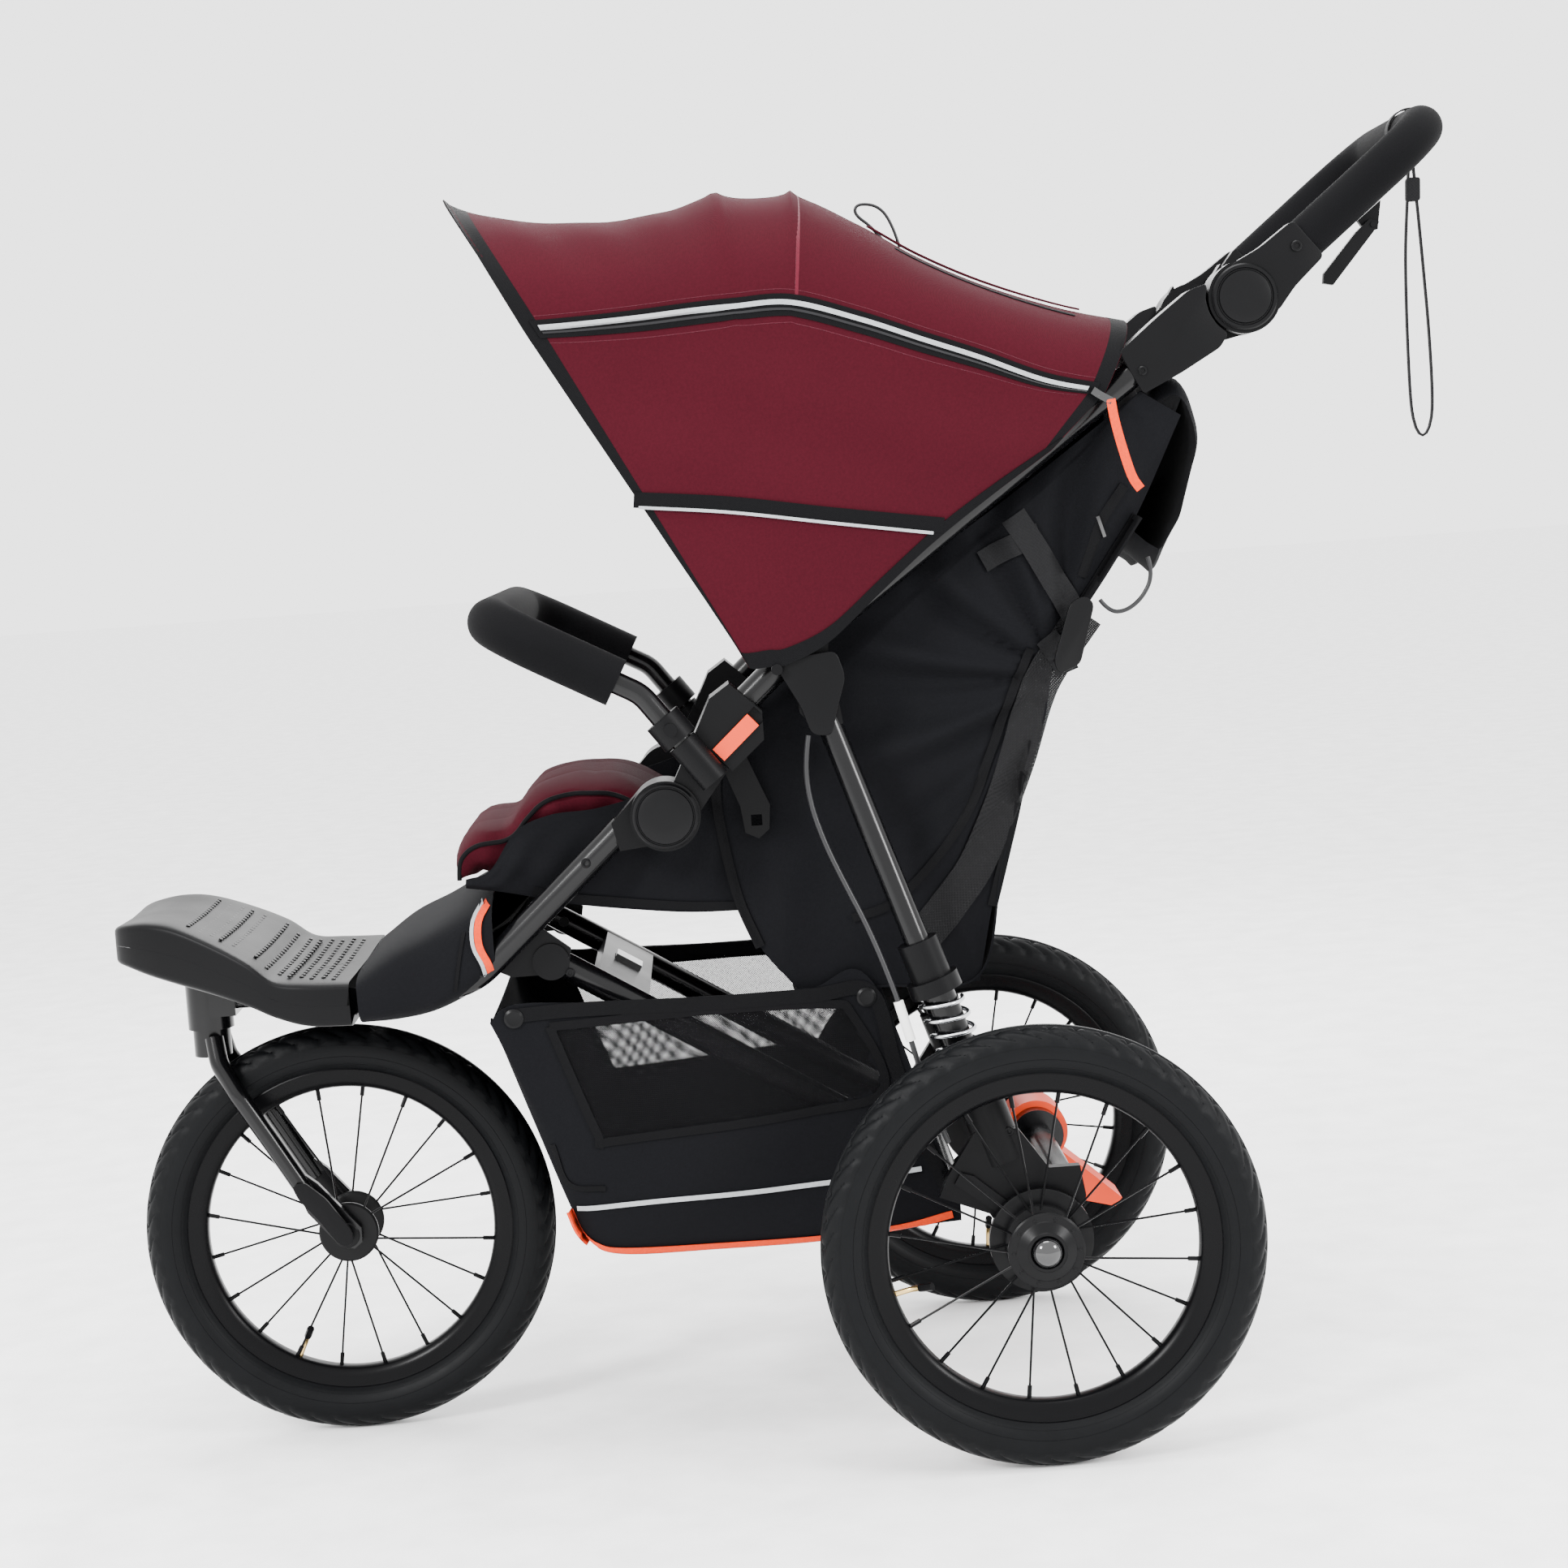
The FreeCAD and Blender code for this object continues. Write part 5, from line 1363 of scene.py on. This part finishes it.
@dataclass
class Basket:
    """A sagging cloth shell with mesh windows, a hem tape and orange piping."""

    floor_line: tuple[Point2, ...] = ((-484, 416), (-452, 318), (-423, 232), (-407, 200), (-378, 187),
                                      (-290, 185),
                                      (-197, 185), (-120, 190), (-64, 198))
    hem_line: tuple[Point2, ...] = ((-484, 418), (-470, 430), (-448, 433), (-400, 430), (-330, 428),
                                    (-260, 427),
                                    (-190, 427), (-130, 427), (-64, 216))
    half: float = 168.0
    floor_share: float = 0.42
    lowest: float = 184.5
    window: tuple[Point2, ...] = ((-430, 410), (-392, 304), (-383, 300), (-203, 313), (-128, 330),
                                  (-152, 400),
                                  (-176, 412), (-293, 414))

    def spot(self, across: float, along: float) -> Vector:
        """A point of the shell, from the left hem under the floor to the right hem."""
        floor, hem = smooth_path(self.floor_line, along), smooth_path(self.hem_line, along)
        side = 1 if across > 0.5 else -1
        height = abs(2 * across - 1)
        if height < self.floor_share:
            x = self.half * height / self.floor_share
            sag = 5 * math.cos(math.pi / 2 * height / self.floor_share)
            drop = 0.0
        else:
            t = (height - self.floor_share) / (1 - self.floor_share)
            x = self.half + 5 * math.sin(math.pi * t) * math.sin(math.pi * along)
            x += 1.6 * math.sin(along * 24 + t * 3) * math.sin(math.pi * t)
            sag, drop = 0.0, t
        corner = math.exp(-((height - self.floor_share) / 0.035) ** 2) * 7
        place = floor.lerp(hem, drop)
        return at(side * (x - corner), place.x, max(place.y + corner * 0.6 - sag * 0.4, self.lowest))

    def inside(self, point: Vector) -> bool:
        """Whether a point of the side lies in the mesh window."""
        y, z = (point.y - AXLE_Y) / MM, point.z / MM
        hit = False
        for (y0, z0), (y1, z1) in zip(self.window, self.window[1:] + self.window[:1]):
            if (z0 > z) != (z1 > z) and y < (y1 - y0) * (z - z0) / (z1 - z0) + y0:
                hit = not hit
        return hit

    def build(self) -> None:
        """The shell, its windows, tapes, piping, strip and snaps."""
        shape = thicken(grid_sheet(120, 130, self.spot), 1.6)
        piece = solid_from("basket_shell", shape, Look.BLACK_CLOTH, SOFT)
        piece.data.materials.append(Look.NET.value.material())
        for face in piece.data.polygons:
            if abs(face.center.x) > (self.half - 6) * MM and self.inside(face.center):
                face.material_index = 1
        settle(piece, "front_frame", "black_fabric", "basket")
        drape = Drape(piece)
        window = drape.strip(list(self.window) + [self.window[0]], 8, 0.6, 1.0)
        hem = drape.strip([(-470, 422), (-400, 424), (-290, 421), (-190, 421), (-134, 420), (-116, 350),
                           (-98, 290), (-74, 228)], 13, 0.8, 1.2)
        lower = drape.strip([(-436, 300), (-424, 262), (-390, 256)], 5, 0.6, 1.0)
        fit("basket_tapes", join_shapes(window, hem, lower), Look.TAPE, "front_frame", "black_fabric",
            sharp=SOFT)
        strip = drape.strip([(-418, 238), (-330, 241), (-245, 243), (-170, 247), (-98, 252)], 4.5, 1.0, 1.0,
                            2)
        fit("basket_reflective_strip", strip, Look.SILVER, "front_frame", "black_fabric", sharp=SOFT)
        piping = drape.strip([(-425, 236), (-417, 214), (-402, 200), (-376, 194), (-290, 192), (-197, 192),
                              (-120, 198), (-72, 207)], 6.5, 0.8, 1.8, 3)
        fit("basket_orange_piping", piping, Look.PIPING, "front_frame", "orange_plastic", sharp=SOFT)
        snaps = join_shapes(drape.stud(-462, 420, 9, 1.4), drape.stud(-138, 416, 9, 1.4))
        fit("basket_snaps", snaps, Look.CAP, "front_frame", "moulded_black")


@dataclass
class Footplate:
    """The moulded footplate, with rounded edges and tread ovals."""

    sections: tuple[tuple[float, ...], ...] = (
        (-838, 489, 514, 66), (-834, 485, 520, 84), (-822, 481, 524, 98), (-800, 473, 526, 112),
        (-774, 465, 522, 124), (-740, 455, 508, 138), (-705, 443, 489, 151), (-680, 432, 470, 157),
        (-650, 423, 466, 162), (-611, 421, 464, 164))
    roundness: float = 0.17
    dish: float = 3.0
    rows: int = 14
    pitch: float = 10.5

    def spot(self, around: float, along: float) -> Vector:
        """A point of the outer shell."""
        y, low, top, half = at_share(self.sections, along)
        turn = 2 * math.pi * around
        x, z = section_point(turn, self.roundness, half, low, top)
        hollow = self.dish * (1 - (x / half) ** 2) * (math.sin(turn) > 0)
        return at(x, y, z - hollow)

    def top_height(self, y: float) -> float:
        """The top's height at a place along the plate."""
        return value_at([(place, top) for place, _, top, _ in self.sections], y)

    def build(self) -> None:
        """The shell with closed ends, and rows of raised ovals on its ramp and flat."""
        shape = capped(grid_sheet(72, 144, lambda u, v: self.spot(v, u)))
        fit("footplate_shell", shape, Look.PLASTIC, "front_frame", "moulded_black", "footplate", sharp=40)
        ovals = bmesh.new()
        for row in range(self.rows):
            y = -764 + row * self.pitch
            half = 104 + row * 3
            rise = self.top_height(y + 4) - self.top_height(y - 4)
            tilt = Matrix.Rotation(math.atan2(rise, 8), 4, "X")
            for column in range(-8, 9):
                x = (column + (0.5 if row % 2 else 0.0)) * half / 9
                z = self.top_height(y) - self.dish * (1 - (x / (half + 30)) ** 2) + 0.2
                bmesh.ops.create_uvsphere(ovals, u_segments=12, v_segments=6, radius=MM,
                                          matrix=Matrix.Translation(at(x, y, z)) @ tilt
                                          @ Matrix.Diagonal((4.2, 2.2, 1.4, 1)))
        fit("footplate_tread", ovals, Look.CAP, "front_frame", "moulded_black")


# ---- Studio ---------------------------------------------------------------------------------------

@dataclass
class Studio:
    """A pale floor, soft lights and the camera."""

    place: Point3 = (2.89726, -0.0615, 0.87495)
    right: Point3 = (0.02837, 0.99713, -0.07021)
    up: Point3 = (-0.09219, 0.07255, 0.99309)
    back: Point3 = (0.99534, -0.02170, 0.09399)
    lens: float = 68.99
    sensor: float = 36.0
    sky_strength: float = 3.0
    target: Point3 = (0.0, 0.0, 0.6)

    def build(self) -> None:
        """Set up the floor, the sky, the lamps and the camera."""
        self.make_floor()
        self.make_sky()
        for name, place, wide, power in (("overhead", (0.4, 0.0, 3.2), 1.6, 90),
                                         ("near", (2.6, -2.4, 2.4), 0.9, 190),
                                         ("rear", (2.0, 2.8, 1.8), 0.8, 100),
                                         ("far", (-2.6, 0.2, 2.2), 1.2, 40)):
            self.make_lamp(f"{name}_softbox", place, wide, power)
        self.make_camera()

    def make_floor(self) -> None:
        """One large matt sheet."""
        shape = bmesh.new()
        bmesh.ops.create_grid(shape, x_segments=2, y_segments=2, size=30)
        solid_from("studio_floor", shape, Look.FLOOR)

    def make_sky(self) -> None:
        """An even pale surround."""
        world = bpy.data.worlds.new("pale_surround")
        world.use_nodes = True
        sky = world.node_tree.nodes["Background"].inputs
        sky["Color"].default_value = (1, 1, 1, 1)
        sky["Strength"].default_value = self.sky_strength
        bpy.context.scene.world = world

    def make_lamp(self, name: str, place: Point3, wide: float, power: float) -> None:
        """A square soft light that looks at the middle of the stroller."""
        lamp = bpy.data.lights.new(name, "AREA")
        lamp.energy = power
        lamp.size = wide
        item = bpy.data.objects.new(name, lamp)
        item.location = place
        item.rotation_euler = (Vector(self.target) - Vector(place)).to_track_quat("-Z", "Y").to_euler()
        bpy.context.scene.collection.objects.link(item)

    def make_camera(self) -> None:
        """A level side view from just behind the front wheel."""
        lens = bpy.data.cameras.new("side_camera")
        lens.lens = self.lens
        lens.sensor_width = self.sensor
        item = bpy.data.objects.new("side_camera", lens)
        turn = Matrix((self.right, self.up, self.back)).transposed().to_4x4()
        item.matrix_world = Matrix.Translation(self.place) @ turn
        bpy.context.scene.collection.objects.link(item)
        bpy.context.scene.camera = item


def main() -> None:
    """Build every sub-assembly, in order, and the studio round it."""
    logging.basicConfig(level=logging.INFO, format="%(message)s")
    assemblies = [
        FrameDressing(),
        Wheel("front", "front_wheel", 0.0, (-648.0, 199.5), ("front_tyre", "front_rim", "front_spokes"),
              flange_x=(-25.0, 25.0), valve_turn=-26.0),
        Wheel("rear_left", "wheel_l", TRACK, REAR_AXLE,
              ("rear_left_tyre", "rear_left_rim", "rear_left_spokes"), valve_turn=-76.0),
        Wheel("rear_right", "wheel_r", -TRACK, REAR_AXLE,
              ("rear_right_tyre", "rear_right_rim", "rear_right_spokes"), flange_x=(15.0, -19.5)),
        RearHub("left", 1), RearHub("right", -1), FrontHub(), WristStrap(), Canopy(),
        Pad("seat_cushion", "front_frame", ("seat_base",),
            ((-503, 548), (-499, 566), (-484, 577), (-455, 580), (-434, 600), (-412, 615), (-361, 616),
             (-300, 584), (-250, 572), (-200, 562), (-150, 545)),
            150, 12, Look.BURGUNDY, "burgundy_fabric", 5, 30),
        Pad("backrest_cushion", "back_panel", ("backrest",),
            ((-112, 522), (-92, 620), (-70, 724), (-48, 826), (-32, 902)), 146, 16, Look.BURGUNDY,
            "burgundy_fabric", 4, 5),
        SeatSides(), RearPouch(), Apron(), Basket(), Footplate(),
        Studio()]
    for assembly in assemblies:
        assembly.build()
        log.info("%s built", type(assembly).__name__)


if __name__ == "__main__":
    main()
